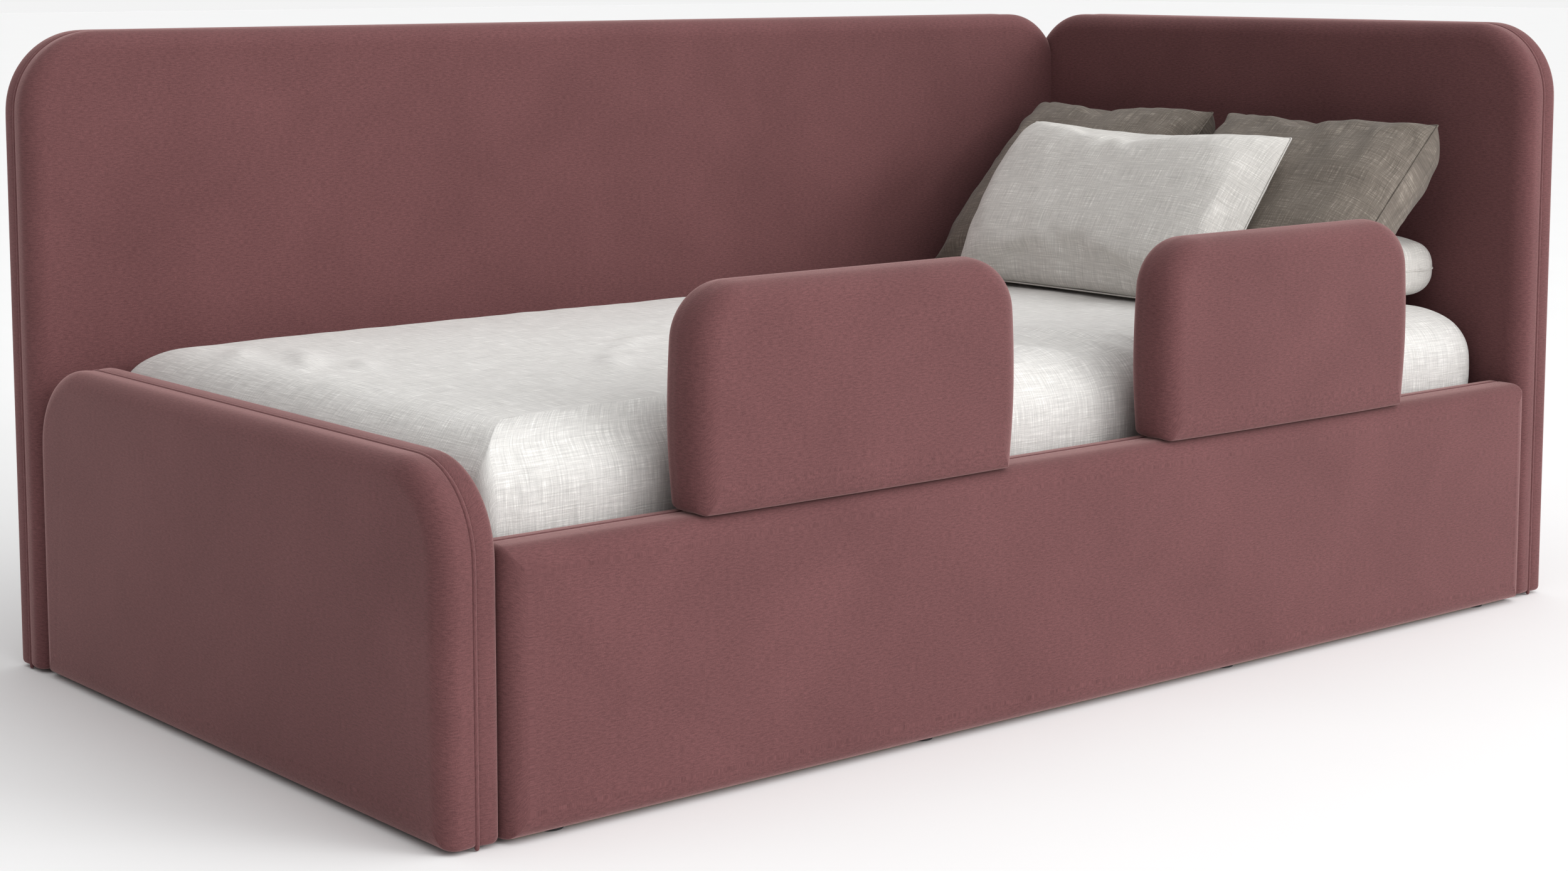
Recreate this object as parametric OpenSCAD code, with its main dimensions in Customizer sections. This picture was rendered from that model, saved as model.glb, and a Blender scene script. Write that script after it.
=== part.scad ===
// Upholstered toddler bed: a closed plinth between padded head, foot and back panels, with two
// lift-off guard rails, a drop-in slatted base, a mattress and four loose pillows.
// X runs from the foot to the head, Y from the open front to the back panel, Z up from the floor.
// The origin is on the floor, under the middle of the bed.

/* [Mattress and room around it] */
// Length of the mattress
mattress_l = 1600; // [1200:10:2000]
// Width of the mattress
mattress_w = 800; // [600:10:1000]
// Thickness of the mattress
mattress_t = 152; // [120:1:180]
// Room left between the mattress and the panels, at each end
end_gap = 29; // [15:1:60]
// Room left between the mattress and the panels, at each side
side_gap = 24; // [15:1:50]
// How far the mattress lies towards the head from the middle
mattress_shift = 8; // [0:1:12]
// Radius of the mattress's top edges and of its corners
mattress_round = 55; // [20:1:70]
// Thickness of the fitted sheet
sheet_t = 1.5; // [1:0.1:3]

/* [Panels] */
// Height of the head and back panels over their piping
panel_h = 785; // [600:1:1000]
// Height of the foot panel over its piping
foot_h = 386; // [330:1:560]
// Thickness of the thick padded side of a panel
pad_t = 40; // [28:1:60]
// Thickness of the thin padded side of a panel
cover_t = 29; // [22:1:45]
// Thickness of the plywood board inside a panel
core_t = 16; // [12:1:20]
// How far a panel's board stops short of the padding's edge
core_inset = 14; // [10:1:30]
// Radius of the panels' top corners
panel_round = 97; // [40:1:140]
// Diameter of the piping in the seam round a panel
piping_d = 6; // [4:0.5:9]
// How far the piping stands proud of the padding's edge
piping_proud = 1.5; // [1:0.1:2]
// How far the foot panel stops short of the front panel's face
foot_set = 12; // [0:1:40]
// How far the head panel stops short of the front panel's face
head_set = 18; // [0:1:40]
// How far the head panel stops short of the back panel's rear
head_rear_set = 21; // [0:1:40]
// How deep the end of the back panel sits in the head panel's padding
corner_bite = 23; // [5:1:30]

/* [Front panel] */
// Height of the front panel
front_h = 300; // [260:1:380]
// Thickness of the front panel's outer padding
front_pad_t = 22.5; // [15:0.5:40]
// Thickness of the front panel's board
front_core_t = 24; // [22:1:30]
// Thickness of the front panel's lined inner side
lining_t = 22.5; // [10:0.5:40]
// Thickness of the padding over the top and ends of the board
front_wrap = 18; // [10:1:30]

/* [Guard rails] */
// Length of a guard rail
rail_l = 450; // [300:1:480]
// Height of a guard rail above the front panel
rail_h = 240; // [150:1:320]
// Radius of a guard rail's top corners
rail_round = 60; // [20:1:90]
// Thickness of the board inside a guard rail
rail_core_t = 18; // [15:1:22]
// How far a guard rail's board stops short of the padding's edge
rail_core_inset = 18; // [10:1:30]
// How far both guard rails stand towards the foot from an even spacing
rail_shift = 10; // [0:1:20]
// Gap under a seated guard rail
seat_gap = 0.5; // [0.3:0.1:1]
// Diameter of a guard rail's steel dowel pins
pin_d = 12; // [8:1:12]
// Distance between the two dowel pins of a rail
pin_spacing = 250; // [150:1:260]
// Length of a dowel pin below the rail
pin_drop = 70; // [40:1:100]
// Length of a dowel pin inside the rail
pin_hold = 90; // [50:1:120]
// Radial clearance between a dowel pin and its sleeve
pin_clear = 0.05; // [0.02:0.01:0.1]
// Outer diameter of a dowel sleeve
sleeve_d = 18; // [16:1:20]
// Diameter of the collar at the sleeve's mouth
collar_d = 26; // [24:1:40]
// Thickness of the collar at the sleeve's mouth
collar_t = 2; // [1:0.5:3]

/* [Inner frame] */
// Height of the top of the ledges above the floor
ledge_top = 204; // [170:1:230]
// Height of a ledge's timber
ledge_h = 40; // [30:1:60]
// Depth of a ledge's timber, out from its panel
ledge_d = 30; // [20:1:40]
// Distance between a ledge's end and the corner
ledge_end = 35; // [31:1:80]
// Length of each leg of a steel corner bracket
bracket_leg = 60; // [40:1:90]
// Height of a corner bracket
bracket_h = 100; // [60:1:120]
// Thickness of a corner bracket's steel
bracket_t = 4; // [3:0.5:6]
// Height of the bottom of the corner brackets
bracket_base = 40; // [20:1:50]
// Diameter of the bolts' shanks
bolt_d = 8; // [6:1:8]
// Diameter of the bolts' heads
bolt_head_d = 16; // [14:1:18]
// Height of the bolts' heads
bolt_head_h = 4; // [3:0.5:6]
// Diameter of the floor glides
glide_d = 30; // [25:1:50]
// Height of the floor glides, which is the gap under the panels
glide_h = 4; // [3:1:8]

/* [Slatted base] */
// Clearance between the slatted base and the panels
base_gap = 6; // [3:1:12]
// Height of the base's timber rails
base_rail_h = 32; // [25:1:45]
// Width of the base's timber rails
base_rail_w = 30; // [25:1:50]
// Number of slats
slat_count = 14; // [8:1:18]
// Width of a slat
slat_w = 53; // [38:1:68]
// Thickness of a slat
slat_t = 8; // [6:0.5:10]
// Wall of a slat holder round the end of a slat
holder_wall = 2.5; // [2:0.5:4]
// Depth of a slat's end in its holder
holder_depth = 26; // [15:1:28]
// Clearance round a slat in its holder, and between stacked pieces that lift apart
soft_gap = 0.3; // [0.3:0.1:1]

/* [Pillows] */
// Length of the flat pillow by the head panel, on a mattress 800 wide
low_pillow_l = 655; // [400:1:760]
// Depth of the flat pillow, out from the head panel
low_pillow_w = 150; // [100:1:170]
// Thickness of the flat pillow
low_pillow_t = 84; // [50:1:90]
// Distance of the flat pillow's far end from the back panel, on a mattress 800 wide
low_pillow_end = 125; // [20:1:200]
// Width of each grey pillow, on a mattress 800 wide
grey_pillow_w = 368; // [240:1:380]
// Slanted height of each grey pillow
grey_pillow_h = 330; // [260:1:340]
// How far the front of a grey pillow bulges from its seam
grey_front_bulge = 46; // [25:1:50]
// How far the back of a grey pillow bulges from its seam
grey_rear_bulge = 66; // [30:1:68]
// Lean of the grey pillows from the mattress
grey_lean = 45; // [40:1:60]
// Distance of the grey pillows' top seam from the head panel
grey_top_set = 60; // [55:1:90]
// Height of the grey pillows' top seam above the mattress
grey_top_h = 244; // [240:1:300]
// Gap between the rear grey pillow and the back panel, on a mattress 800 wide
grey_side = 28; // [10:1:60]
// Gap between the two grey pillows, on a mattress 800 wide
grey_between = 36; // [10:1:60]
// Width of the front pillow, on a mattress 800 wide
front_pillow_w = 492; // [300:1:600]
// Slanted height of the front pillow
front_pillow_h = 276; // [220:1:280]
// How far the front of the front pillow bulges from its seam
front_pillow_front_bulge = 60; // [30:1:70]
// How far the back of the front pillow bulges from its seam
front_pillow_rear_bulge = 33; // [20:1:35]
// Lean of the front pillow from the mattress
front_lean = 53.5; // [50:0.5:65]
// Distance of the front pillow's top seam from the head panel
front_top_set = 209; // [200:1:260]
// Height of the front pillow's top seam above the mattress
front_top_h = 226; // [220:1:260]

/* [Hidden] */
$fn = 64;

panel_t = pad_t + cover_t;
front_t = front_pad_t + front_core_t + lining_t;
in_l = mattress_l + 2 * end_gap;
in_w = mattress_w + 2 * side_gap;
bed_l = in_l + 2 * panel_t;
bed_w = in_w + panel_t + front_t;
in_front = -bed_w / 2 + front_t;
in_back = bed_w / 2 - panel_t;
cut = 1;            // how far a cutting solid runs past the face it opens
glue_gap = 0.05;    // radial room for glue or thread round a fixed pin, sleeve or bolt
hole_gap = 0.3;     // radial room round a bolt in the pieces it clamps
bolt_stop = 2;      // board left behind a bolt's tip

// Each wall is drawn from inside the bed: x along it, y up, and z out through it from its inner face.
function wall_half(side) = side == "head" || side == "foot" ? in_w / 2 : in_l / 2;
function wall_inner_t(side) = side == "front" ? lining_t : side == "foot" ? cover_t : pad_t;
function wall_board_t(side) = side == "front" ? front_core_t : core_t;
function wall_board_z(side) = side == "front" ? lining_t : wall_inner_t(side) - core_t / 2;
function wall_h(side) = side == "front" ? front_h : (side == "foot" ? foot_h : panel_h) - piping_proud;

// Lowest and highest x of a panel's padding, in its own wall's frame.
function wall_x0(side) =
    side == "front" ? -in_l / 2 :
    side == "foot" ? -in_w / 2 + piping_proud :
    side == "head" ? -bed_w / 2 + head_set + piping_proud - wall_mid_y() :
    -in_l / 2 - corner_bite + piping_proud;
function wall_x1(side) =
    side == "front" ? in_l / 2 :
    side == "foot" ? bed_w / 2 - foot_set - piping_proud + wall_mid_y() :
    side == "head" ? bed_w / 2 - head_rear_set - piping_proud - wall_mid_y() :
    bed_l / 2 - piping_proud;
function wall_mid_y() = (in_front + in_back) / 2;

module on_wall(side) {
    mid = wall_mid_y();
    if (side == "front") translate([0, in_front, 0]) rotate([90, 0, 0]) children();
    if (side == "back") translate([0, in_back, 0]) rotate([90, 0, 180]) children();
    if (side == "head") translate([in_l / 2, mid, 0]) rotate([90, 0, 90]) children();
    if (side == "foot") translate([-in_l / 2, mid, 0]) rotate([90, 0, -90]) children();
}

// Upright outline with round top corners, standing on the glides.
module outline(x0, x1, low, high, r) {
    translate([x0, low]) square([x1 - x0, high - low - r]);
    translate([x0 + r, low]) square([x1 - x0 - 2 * r, high - low]);
    for (x = [x0 + r, x1 - r]) translate([x, high - r]) circle(r);
}

module panel_outline(side, inset) {
    low = inset > 0 ? glide_h : glide_h - cut;
    outline(wall_x0(side) + inset, wall_x1(side) - inset, low, wall_h(side) - inset, panel_round - inset);
}

module wall_board(side, room = 0) {
    translate([0, 0, wall_board_z(side) - room])
        linear_extrude(wall_board_t(side) + 2 * room) panel_outline(side, core_inset - room);
}

// The piping runs up one end of the panel, round both top corners and down the other end.
module piping(side) {
    r = panel_round + piping_proud - piping_d / 2;
    x0 = wall_x0(side) + panel_round;
    x1 = wall_x1(side) - panel_round;
    top = wall_h(side) - panel_round;
    translate([0, 0, wall_inner_t(side)]) {
        for (x = [x0 - r, x1 + r])
            translate([x, glide_h, 0]) rotate([-90, 0, 0]) cylinder(d = piping_d, h = top - glide_h);
        translate([x0, top + r, 0]) rotate([0, 90, 0]) cylinder(d = piping_d, h = x1 - x0);
        translate([x0, top, 0]) rotate([0, 0, 90])
            rotate_extrude(angle = 90) translate([r, 0]) circle(d = piping_d);
        translate([x1, top, 0]) rotate_extrude(angle = 90) translate([r, 0]) circle(d = piping_d);
    }
}

// Bolt places on a wall, as [x, height]: two by each corner for the brackets, then the ledge's row.
bracket_bolt_out = 0.6;             // a bracket bolt's distance from the corner, as a share of the leg
bracket_bolt_up = [0.25, 0.75];     // heights of a bracket's bolts, as shares of its height
function bracket_bolt_places(side) = [
    for (s = [-1, 1], up = bracket_bolt_up)
        [s * (wall_half(side) - bracket_leg * bracket_bolt_out), bracket_base + up * bracket_h]
];
ledge_bolt_end = 80;    // from a ledge's end to its first bolt
ledge_bolt_pitch = 360; // the widest spacing of a ledge's bolts
function ledge_bolt_places(side) =
    let (reach = wall_half(side) - ledge_end - ledge_bolt_end)
    let (n = ceil(2 * reach / ledge_bolt_pitch))
    [for (i = [0:n]) [reach * (2 * i / n - 1), ledge_top - ledge_h / 2]];

module at_places(places) {
    for (p = places) translate([p[0], p[1], 0]) children();
}

module bolt(side, clamped) {
    tip = wall_board_z(side) + wall_board_t(side) - bolt_stop;
    translate([0, 0, -clamped]) cylinder(d = bolt_d, h = tip + clamped);
    translate([0, 0, -clamped - bolt_head_h]) cylinder(d = bolt_head_d, h = bolt_head_h);
}

// Clearance holes through the skin inside the board, or thread holes into the board.
module bolt_holes(side, room, from, to) {
    places = concat(bracket_bolt_places(side), ledge_bolt_places(side));
    at_places(places) translate([0, 0, from]) cylinder(d = bolt_d + 2 * room, h = to - from);
}

module panel_core(side) {
    on_wall(side) difference() {
        wall_board(side);
        bolt_holes(side, glue_gap, -cut, wall_board_z(side) + wall_board_t(side) - bolt_stop + glue_gap);
    }
}

module panel_skin(side, from, to) {
    difference() {
        on_wall(side) difference() {
            translate([0, 0, from]) linear_extrude(to - from)
                outline(wall_x0(side), wall_x1(side), glide_h, wall_h(side), panel_round);
            wall_board(side, glue_gap);
            piping(side);
            bolt_holes(side, hole_gap, -cut, wall_board_z(side) + cut);
        }
        // the back panel's end, piping included, sits in the head panel's padding
        if (side == "head") on_wall("back") translate([0, 0, -glue_gap])
            linear_extrude(panel_t + 2 * glue_gap)
                outline(wall_x0("back") - piping_proud - glue_gap, wall_x1("back"), glide_h - cut,
                        panel_h + glue_gap, panel_round + piping_proud + glue_gap);
    }
}

module panel_padding(side) {
    if (side == "foot") panel_skin(side, cover_t, panel_t);
    else panel_skin(side, 0, pad_t);
}

module panel_cover(side) {
    if (side == "foot") panel_skin(side, 0, cover_t);
    else panel_skin(side, pad_t, panel_t);
}

velour = [0.54, 0.37, 0.37];
timber = [0.80, 0.66, 0.46];
steel = [0.72, 0.73, 0.75];
linen_white = [0.86, 0.85, 0.82];
linen_grey = [0.46, 0.43, 0.39];
black_plastic = [0.10, 0.10, 0.10];

module back_panel_core() { color(timber) panel_core("back"); }
module back_panel_padding() { color(velour) panel_padding("back"); }
module back_panel_cover() { color(velour) panel_cover("back"); }
module back_panel_piping() { color(velour) on_wall("back") piping("back"); }
module head_panel_core() { color(timber) panel_core("head"); }
module head_panel_padding() { color(velour) panel_padding("head"); }
module head_panel_cover() { color(velour) panel_cover("head"); }
module head_panel_piping() { color(velour) on_wall("head") piping("head"); }
module foot_panel_core() { color(timber) panel_core("foot"); }
module foot_panel_padding() { color(velour) panel_padding("foot"); }
module foot_panel_cover() { color(velour) panel_cover("foot"); }
module foot_panel_piping() { color(velour) on_wall("foot") piping("foot"); }

// The guard rails leave a whole gap between them and about half a gap at each end.
rail_y = in_front - front_t + front_pad_t + front_core_t / 2;
rail_gap = (in_l - 2 * rail_l) / 3;
rail_x = rail_gap / 2 + rail_l / 2;
pin_places = [for (s = [-1, 1], t = [-1, 1]) s * rail_x - rail_shift + t * pin_spacing / 2];

module sleeve_holes(room) {
    for (x = pin_places) translate([x, rail_y, front_h - pin_drop - collar_t - room]) {
        cylinder(d = sleeve_d + 2 * room, h = pin_drop + collar_t + room + cut);
        translate([0, 0, pin_drop]) cylinder(d = collar_d + 2 * room, h = collar_t + room + cut);
    }
}

module front_board(room = 0) {
    half = in_l / 2 - front_wrap + room;
    translate([-half, glide_h - room, lining_t - room])
        cube([2 * half, front_h - front_wrap - glide_h + 2 * room, front_core_t + 2 * room]);
}

module front_panel_core() {
    color(timber) difference() {
        on_wall("front") difference() {
            front_board();
            bolt_holes("front", glue_gap, -cut, lining_t + front_core_t - bolt_stop + glue_gap);
        }
        sleeve_holes(glue_gap);
    }
}

module front_panel_padding() {
    color(velour) difference() {
        on_wall("front") difference() {
            translate([-in_l / 2, glide_h, lining_t])
                cube([in_l, front_h - glide_h, front_t - lining_t]);
            translate([0, -glide_h, 0]) front_board(glue_gap);
            front_board(glue_gap);
        }
        sleeve_holes(hole_gap);
    }
}

module front_panel_lining() {
    color(velour) difference() {
        on_wall("front") difference() {
            translate([-in_l / 2, glide_h, 0]) cube([in_l, front_h - glide_h, lining_t - glue_gap]);
            bolt_holes("front", hole_gap, -cut, lining_t + cut);
        }
        sleeve_holes(hole_gap);
    }
}

module rail_sleeves() {
    color(steel) for (x = pin_places) translate([x, rail_y, front_h - pin_drop - collar_t]) difference() {
        union() {
            cylinder(d = sleeve_d, h = pin_drop + collar_t);
            translate([0, 0, pin_drop]) cylinder(d = collar_d, h = collar_t);
        }
        translate([0, 0, collar_t]) cylinder(d = pin_d + 2 * pin_clear, h = pin_drop + cut);
    }
}

module on_rail(side) {
    translate([side * rail_x - rail_shift, rail_y, front_h + seat_gap]) children();
}

module rail_board(room = 0) {
    inset = rail_core_inset - room;
    translate([0, rail_core_t / 2 + room, 0]) rotate([90, 0, 0]) linear_extrude(rail_core_t + 2 * room)
        outline(-rail_l / 2 + inset, rail_l / 2 - inset, room > 0 ? -cut : 0, rail_h - inset, rail_round - inset);
}

module rail_core(side) {
    color(timber) on_rail(side) difference() {
        rail_board();
        for (t = [-1, 1]) translate([t * pin_spacing / 2, 0, -cut])
            cylinder(d = pin_d + 2 * glue_gap, h = pin_hold + cut + glue_gap);
    }
}

module rail_padding(side) {
    color(velour) on_rail(side) difference() {
        translate([0, front_t - (front_pad_t + front_core_t / 2), 0]) rotate([90, 0, 0]) linear_extrude(front_t)
            outline(-rail_l / 2, rail_l / 2, 0, rail_h, rail_round);
        rail_board(glue_gap);
    }
}

module rail_pins(side) {
    point = 2;      // length of the chamfered point
    color(steel) on_rail(side) for (t = [-1, 1]) translate([t * pin_spacing / 2, 0, -pin_drop + seat_gap]) {
        cylinder(d1 = pin_d - 2 * point, d2 = pin_d, h = point);
        translate([0, 0, point]) cylinder(d = pin_d, h = pin_drop + pin_hold - seat_gap - point);
    }
}

module guard_rail_left_core() { rail_core(-1); }
module guard_rail_left_padding() { rail_padding(-1); }
module guard_rail_left_pins() { rail_pins(-1); }
module guard_rail_right_core() { rail_core(1); }
module guard_rail_right_padding() { rail_padding(1); }
module guard_rail_right_pins() { rail_pins(1); }

module ledge(side) {
    half = wall_half(side) - ledge_end;
    color(timber) on_wall(side) difference() {
        translate([-half, ledge_top - ledge_h, -ledge_d]) cube([2 * half, ledge_h, ledge_d]);
        at_places(ledge_bolt_places(side)) translate([0, 0, -ledge_d - cut])
            cylinder(d = bolt_d + 2 * hole_gap, h = ledge_d + 2 * cut);
    }
}

module front_ledge() { ledge("front"); }
module back_ledge() { ledge("back"); }
module head_ledge() { ledge("head"); }
module foot_ledge() { ledge("foot"); }

SIDES = ["front", "back", "head", "foot"];

// An angle in each corner: a plate on each of its two walls, joined along the corner.
module corner_brackets() {
    color(steel) difference() {
        for (sx = [-1, 1], y = [in_front, in_back]) {
            sy = y < 0 ? 1 : -1;
            translate([sx * in_l / 2, y, bracket_base]) scale_sign(-sx, sy) {
                cube([bracket_leg, bracket_t, bracket_h]);
                cube([bracket_t, bracket_leg, bracket_h]);
            }
        }
        for (side = SIDES) on_wall(side) at_places(bracket_bolt_places(side))
            translate([0, 0, -bracket_t - cut]) cylinder(d = bolt_d + 2 * hole_gap, h = bracket_t + 2 * cut);
    }
}

module scale_sign(sx, sy) {
    mirror([sx < 0 ? 1 : 0, 0, 0]) mirror([0, sy < 0 ? 1 : 0, 0]) children();
}

module bracket_bolts() {
    color(steel) for (side = SIDES) on_wall(side)
        at_places(bracket_bolt_places(side)) bolt(side, bracket_t);
}

module ledge_bolts() {
    color(steel) for (side = SIDES) on_wall(side)
        at_places(ledge_bolt_places(side)) bolt(side, ledge_d);
}

// Glides under each wall: one near each end, and more between them on the long walls.
glide_end = 70;     // from a wall's end to its first glide
glide_pitch = 560;  // the widest spacing of the glides
module floor_glides() {
    color(black_plastic) for (side = SIDES) {
        z = wall_board_z(side) + wall_board_t(side) / 2;
        x0 = wall_x0(side) + glide_end;
        x1 = wall_x1(side) - glide_end;
        n = ceil((x1 - x0) / glide_pitch);
        on_wall(side) for (i = [0:n])
            translate([x0 + (x1 - x0) * i / n, 0, z]) rotate([-90, 0, 0]) cylinder(d = glide_d, h = glide_h);
    }
}

// The slatted base stands on the ledges.
base_z = ledge_top + soft_gap;
base_l = in_l - 2 * base_gap;
base_w = in_w - 2 * base_gap;
base_mid = wall_mid_y();
slat_pitch = (base_l - 2 * base_rail_w - slat_w - 4 * holder_wall) / (slat_count - 1);
slat_z = base_z + base_rail_h + holder_wall + soft_gap;
slat_len = base_w - 2 * holder_wall - 2 * soft_gap;
base_top = slat_z + slat_t + soft_gap + holder_wall;
slat_places = [for (i = [0:slat_count - 1]) (i - (slat_count - 1) / 2) * slat_pitch];
screw_d = 5;        // shank of a base screw
screw_head_d = 9;   // head of a base screw, sunk into the rail
screw_head_h = 3;
screw_len = 70;
screw_up = [0.3, 0.7];  // heights of a corner's screws, as shares of the rail's height

module base_screw_at(room) {
    for (sx = [-1, 1], sy = [-1, 1], up = screw_up)
        translate([sx * (base_l / 2 - base_rail_w / 2), base_mid + sy * base_w / 2, base_z + up * base_rail_h])
            rotate([sy * 90, 0, 0]) {
                translate([0, 0, -room]) cylinder(d = screw_d + 2 * room, h = screw_len + room);
                translate([0, 0, room > 0 ? -cut : 0])
                    cylinder(d = screw_head_d + 2 * room, h = screw_head_h + (room > 0 ? cut : 0) + room);
            }
}

module base_side_rail(s) {
    color(timber) difference() {
        translate([-base_l / 2, base_mid + s * (base_w - base_rail_w) / 2 - base_rail_w / 2, base_z])
            cube([base_l, base_rail_w, base_rail_h]);
        base_screw_at(glue_gap);
    }
}

module base_end_rail(s) {
    color(timber) difference() {
        translate([s * (base_l - base_rail_w) / 2 - base_rail_w / 2, base_mid - base_w / 2 + base_rail_w, base_z])
            cube([base_rail_w, base_w - 2 * base_rail_w, base_rail_h]);
        base_screw_at(glue_gap);
    }
}

module base_front_rail() { base_side_rail(-1); }
module base_back_rail() { base_side_rail(1); }
module base_head_rail() { base_end_rail(1); }
module base_foot_rail() { base_end_rail(-1); }
module base_screws() { color(steel) base_screw_at(0); }

module slats() {
    color(timber) for (x = slat_places)
        translate([x - slat_w / 2, base_mid - slat_len / 2, slat_z]) cube([slat_w, slat_len, slat_t]);
}

// A holder is a flat cap, closed at its outer end, on top of the side rail.
module slat_holders() {
    w = slat_w + 2 * (holder_wall + soft_gap);
    h = base_top - base_z - base_rail_h;
    color(black_plastic) for (x = slat_places, s = [0, 180])
        translate([x, base_mid, 0]) rotate([0, 0, s])
            translate([-w / 2, -base_w / 2, base_z + base_rail_h]) difference() {
                cube([w, holder_depth + holder_wall, h]);
                translate([holder_wall, holder_wall, holder_wall])
                    cube([w - 2 * holder_wall, holder_depth + cut, h - 2 * holder_wall]);
            }
}

// A block with round corners and round top edges: three outlines drawn through each other.
mattress_z = base_top + soft_gap + sheet_t;
mattress_top = mattress_z + mattress_t;
module soft_block(grow) {
    l = mattress_l + 2 * grow;
    w = mattress_w + 2 * grow;
    h = mattress_t + 2 * grow;
    r = mattress_round + grow;
    translate([mattress_shift, base_mid, mattress_z - grow]) intersection() {
        rotate([90, 0, 0]) linear_extrude(w, center = true) outline(-l / 2, l / 2, 0, h, r);
        rotate([90, 0, 90]) linear_extrude(l, center = true) outline(-w / 2, w / 2, 0, h, r);
        linear_extrude(h) {
            square([l, w - 2 * r], center = true);
            square([l - 2 * r, w], center = true);
            for (sx = [-1, 1], sy = [-1, 1]) translate([sx * (l / 2 - r), sy * (w / 2 - r)]) circle(r);
        }
    }
}

module mattress() { color(linen_white) soft_block(0); }

module fitted_sheet() {
    color(linen_white) difference() {
        soft_block(sheet_t);
        soft_block(0);
        // open underneath, inside the elastic hem
        translate([mattress_shift, base_mid, mattress_z - sheet_t])
            cube([mattress_l - 2 * mattress_round, mattress_w - 2 * mattress_round, 4 * sheet_t], center = true);
    }
}

// A pillow is two crowned faces that meet in a seam, on a grid of cells. Its sides pull in between
// the corners. It is flattened where it would pass its rest height or the head panel's face.
pillow_cells = 14;  // cells along each side of a pillow
pillow_pinch = 0.04; // how far the sides pull in, as a share of the half size
pillow_square = 2.4; // how square the crown's outline is: 2 is round
pillow_full = 0.5;   // how steeply the crown rises from the seam: smaller is steeper
pillow_seat = mattress_top + sheet_t + soft_gap;
pillow_wall = in_l / 2 - 2 * soft_gap;
named_at_w = 800;   // mattress width at which the pillows have their named widths
pillow_fit = mattress_w / named_at_w;

function crown(u, v) = pow((1 - pow(abs(u), pillow_square)) * (1 - pow(abs(v), pillow_square)), pillow_full);
function pinch(u, v) = u * (1 - pillow_pinch * (1 - v * v));
function pillow_point(size, lean, top, u, v, bulge) =
    let (a = pinch(u, v) * size[0] / 2)
    let (b = (pinch(v, u) - 1) * size[1] / 2)
    let (t = bulge * crown(u, v))
    [
        min(top[0] + b * cos(lean) - t * sin(lean), pillow_wall),
        top[1] - a,
        max(top[2] + b * sin(lean) + t * cos(lean), pillow_seat),
    ];

module pillow(size, lean, top) {
    n = pillow_cells;
    step = [for (i = [0:n]) sin((2 * i / n - 1) * 90)];
    front = [for (i = [0:n], j = [0:n]) pillow_point(size, lean, top, step[i], step[j], size[2])];
    rear = [for (i = [1:n - 1], j = [1:n - 1]) pillow_point(size, lean, top, step[i], step[j], -size[3])];
    inner = function (i, j) i > 0 && i < n && j > 0 && j < n;
    f = function (i, j) i * (n + 1) + j;
    r = function (i, j) inner(i, j) ? (n + 1) * (n + 1) + (i - 1) * (n - 1) + j - 1 : f(i, j);
    // each cell is split so that its triangles point into the pillow's nearest corner
    split = function (g, i, j) (i < n / 2) == (j < n / 2) ?
        [[g(i, j), g(i, j + 1), g(i + 1, j + 1)], [g(i, j), g(i + 1, j + 1), g(i + 1, j)]] :
        [[g(i, j), g(i, j + 1), g(i + 1, j)], [g(i, j + 1), g(i + 1, j + 1), g(i + 1, j)]];
    front_faces = [for (i = [0:n - 1], j = [0:n - 1]) each split(f, i, j)];
    rear_faces = [for (i = [0:n - 1], j = [0:n - 1], t = split(r, i, j)) [t[2], t[1], t[0]]];
    polyhedron(concat(front, rear), concat(front_faces, rear_faces));
}

module low_pillow() {
    half = low_pillow_t / 2;
    size = [low_pillow_l * pillow_fit, low_pillow_w, half, half];
    top = [pillow_wall, in_back - (low_pillow_end + low_pillow_l / 2) * pillow_fit, pillow_seat + half];
    color(linen_white) pillow(size, 0, top);
}

module grey_pillow(s) {
    side = s > 0 ? grey_side : grey_side + grey_pillow_w + grey_between;
    size = [grey_pillow_w * pillow_fit, grey_pillow_h, grey_front_bulge, grey_rear_bulge];
    y = in_back - (side + grey_pillow_w / 2) * pillow_fit;
    top = [in_l / 2 - grey_top_set, y, mattress_top + grey_top_h];
    color(linen_grey) pillow(size, grey_lean, top);
}

module grey_pillow_back() { grey_pillow(1); }
module grey_pillow_front() { grey_pillow(-1); }

module front_pillow() {
    size = [front_pillow_w * pillow_fit, front_pillow_h, front_pillow_front_bulge, front_pillow_rear_bulge];
    top = [in_l / 2 - front_top_set, base_mid, mattress_top + front_top_h];
    color(linen_white) pillow(size, front_lean, top);
}

back_panel_core();
back_panel_padding();
back_panel_cover();
back_panel_piping();
head_panel_core();
head_panel_padding();
head_panel_cover();
head_panel_piping();
foot_panel_core();
foot_panel_padding();
foot_panel_cover();
foot_panel_piping();
front_panel_core();
front_panel_padding();
front_panel_lining();
rail_sleeves();
front_ledge();
back_ledge();
head_ledge();
foot_ledge();
corner_brackets();
bracket_bolts();
ledge_bolts();
floor_glides();
guard_rail_left_core();
guard_rail_left_padding();
guard_rail_left_pins();
guard_rail_right_core();
guard_rail_right_padding();
guard_rail_right_pins();
base_front_rail();
base_back_rail();
base_head_rail();
base_foot_rail();
slats();
slat_holders();
base_screws();
mattress();
fitted_sheet();
low_pillow();
grey_pillow_back();
grey_pillow_front();
front_pillow();
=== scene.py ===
"""Upholstered toddler bed: velour panels over boards, lift-off guard rails, a slatted base, a mattress
in a fitted linen sheet and four linen pillows. Metres; x runs to the head, y to the back, z up."""
import math
import bpy
import bmesh
import numpy as np
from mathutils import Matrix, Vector, noise


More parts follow.
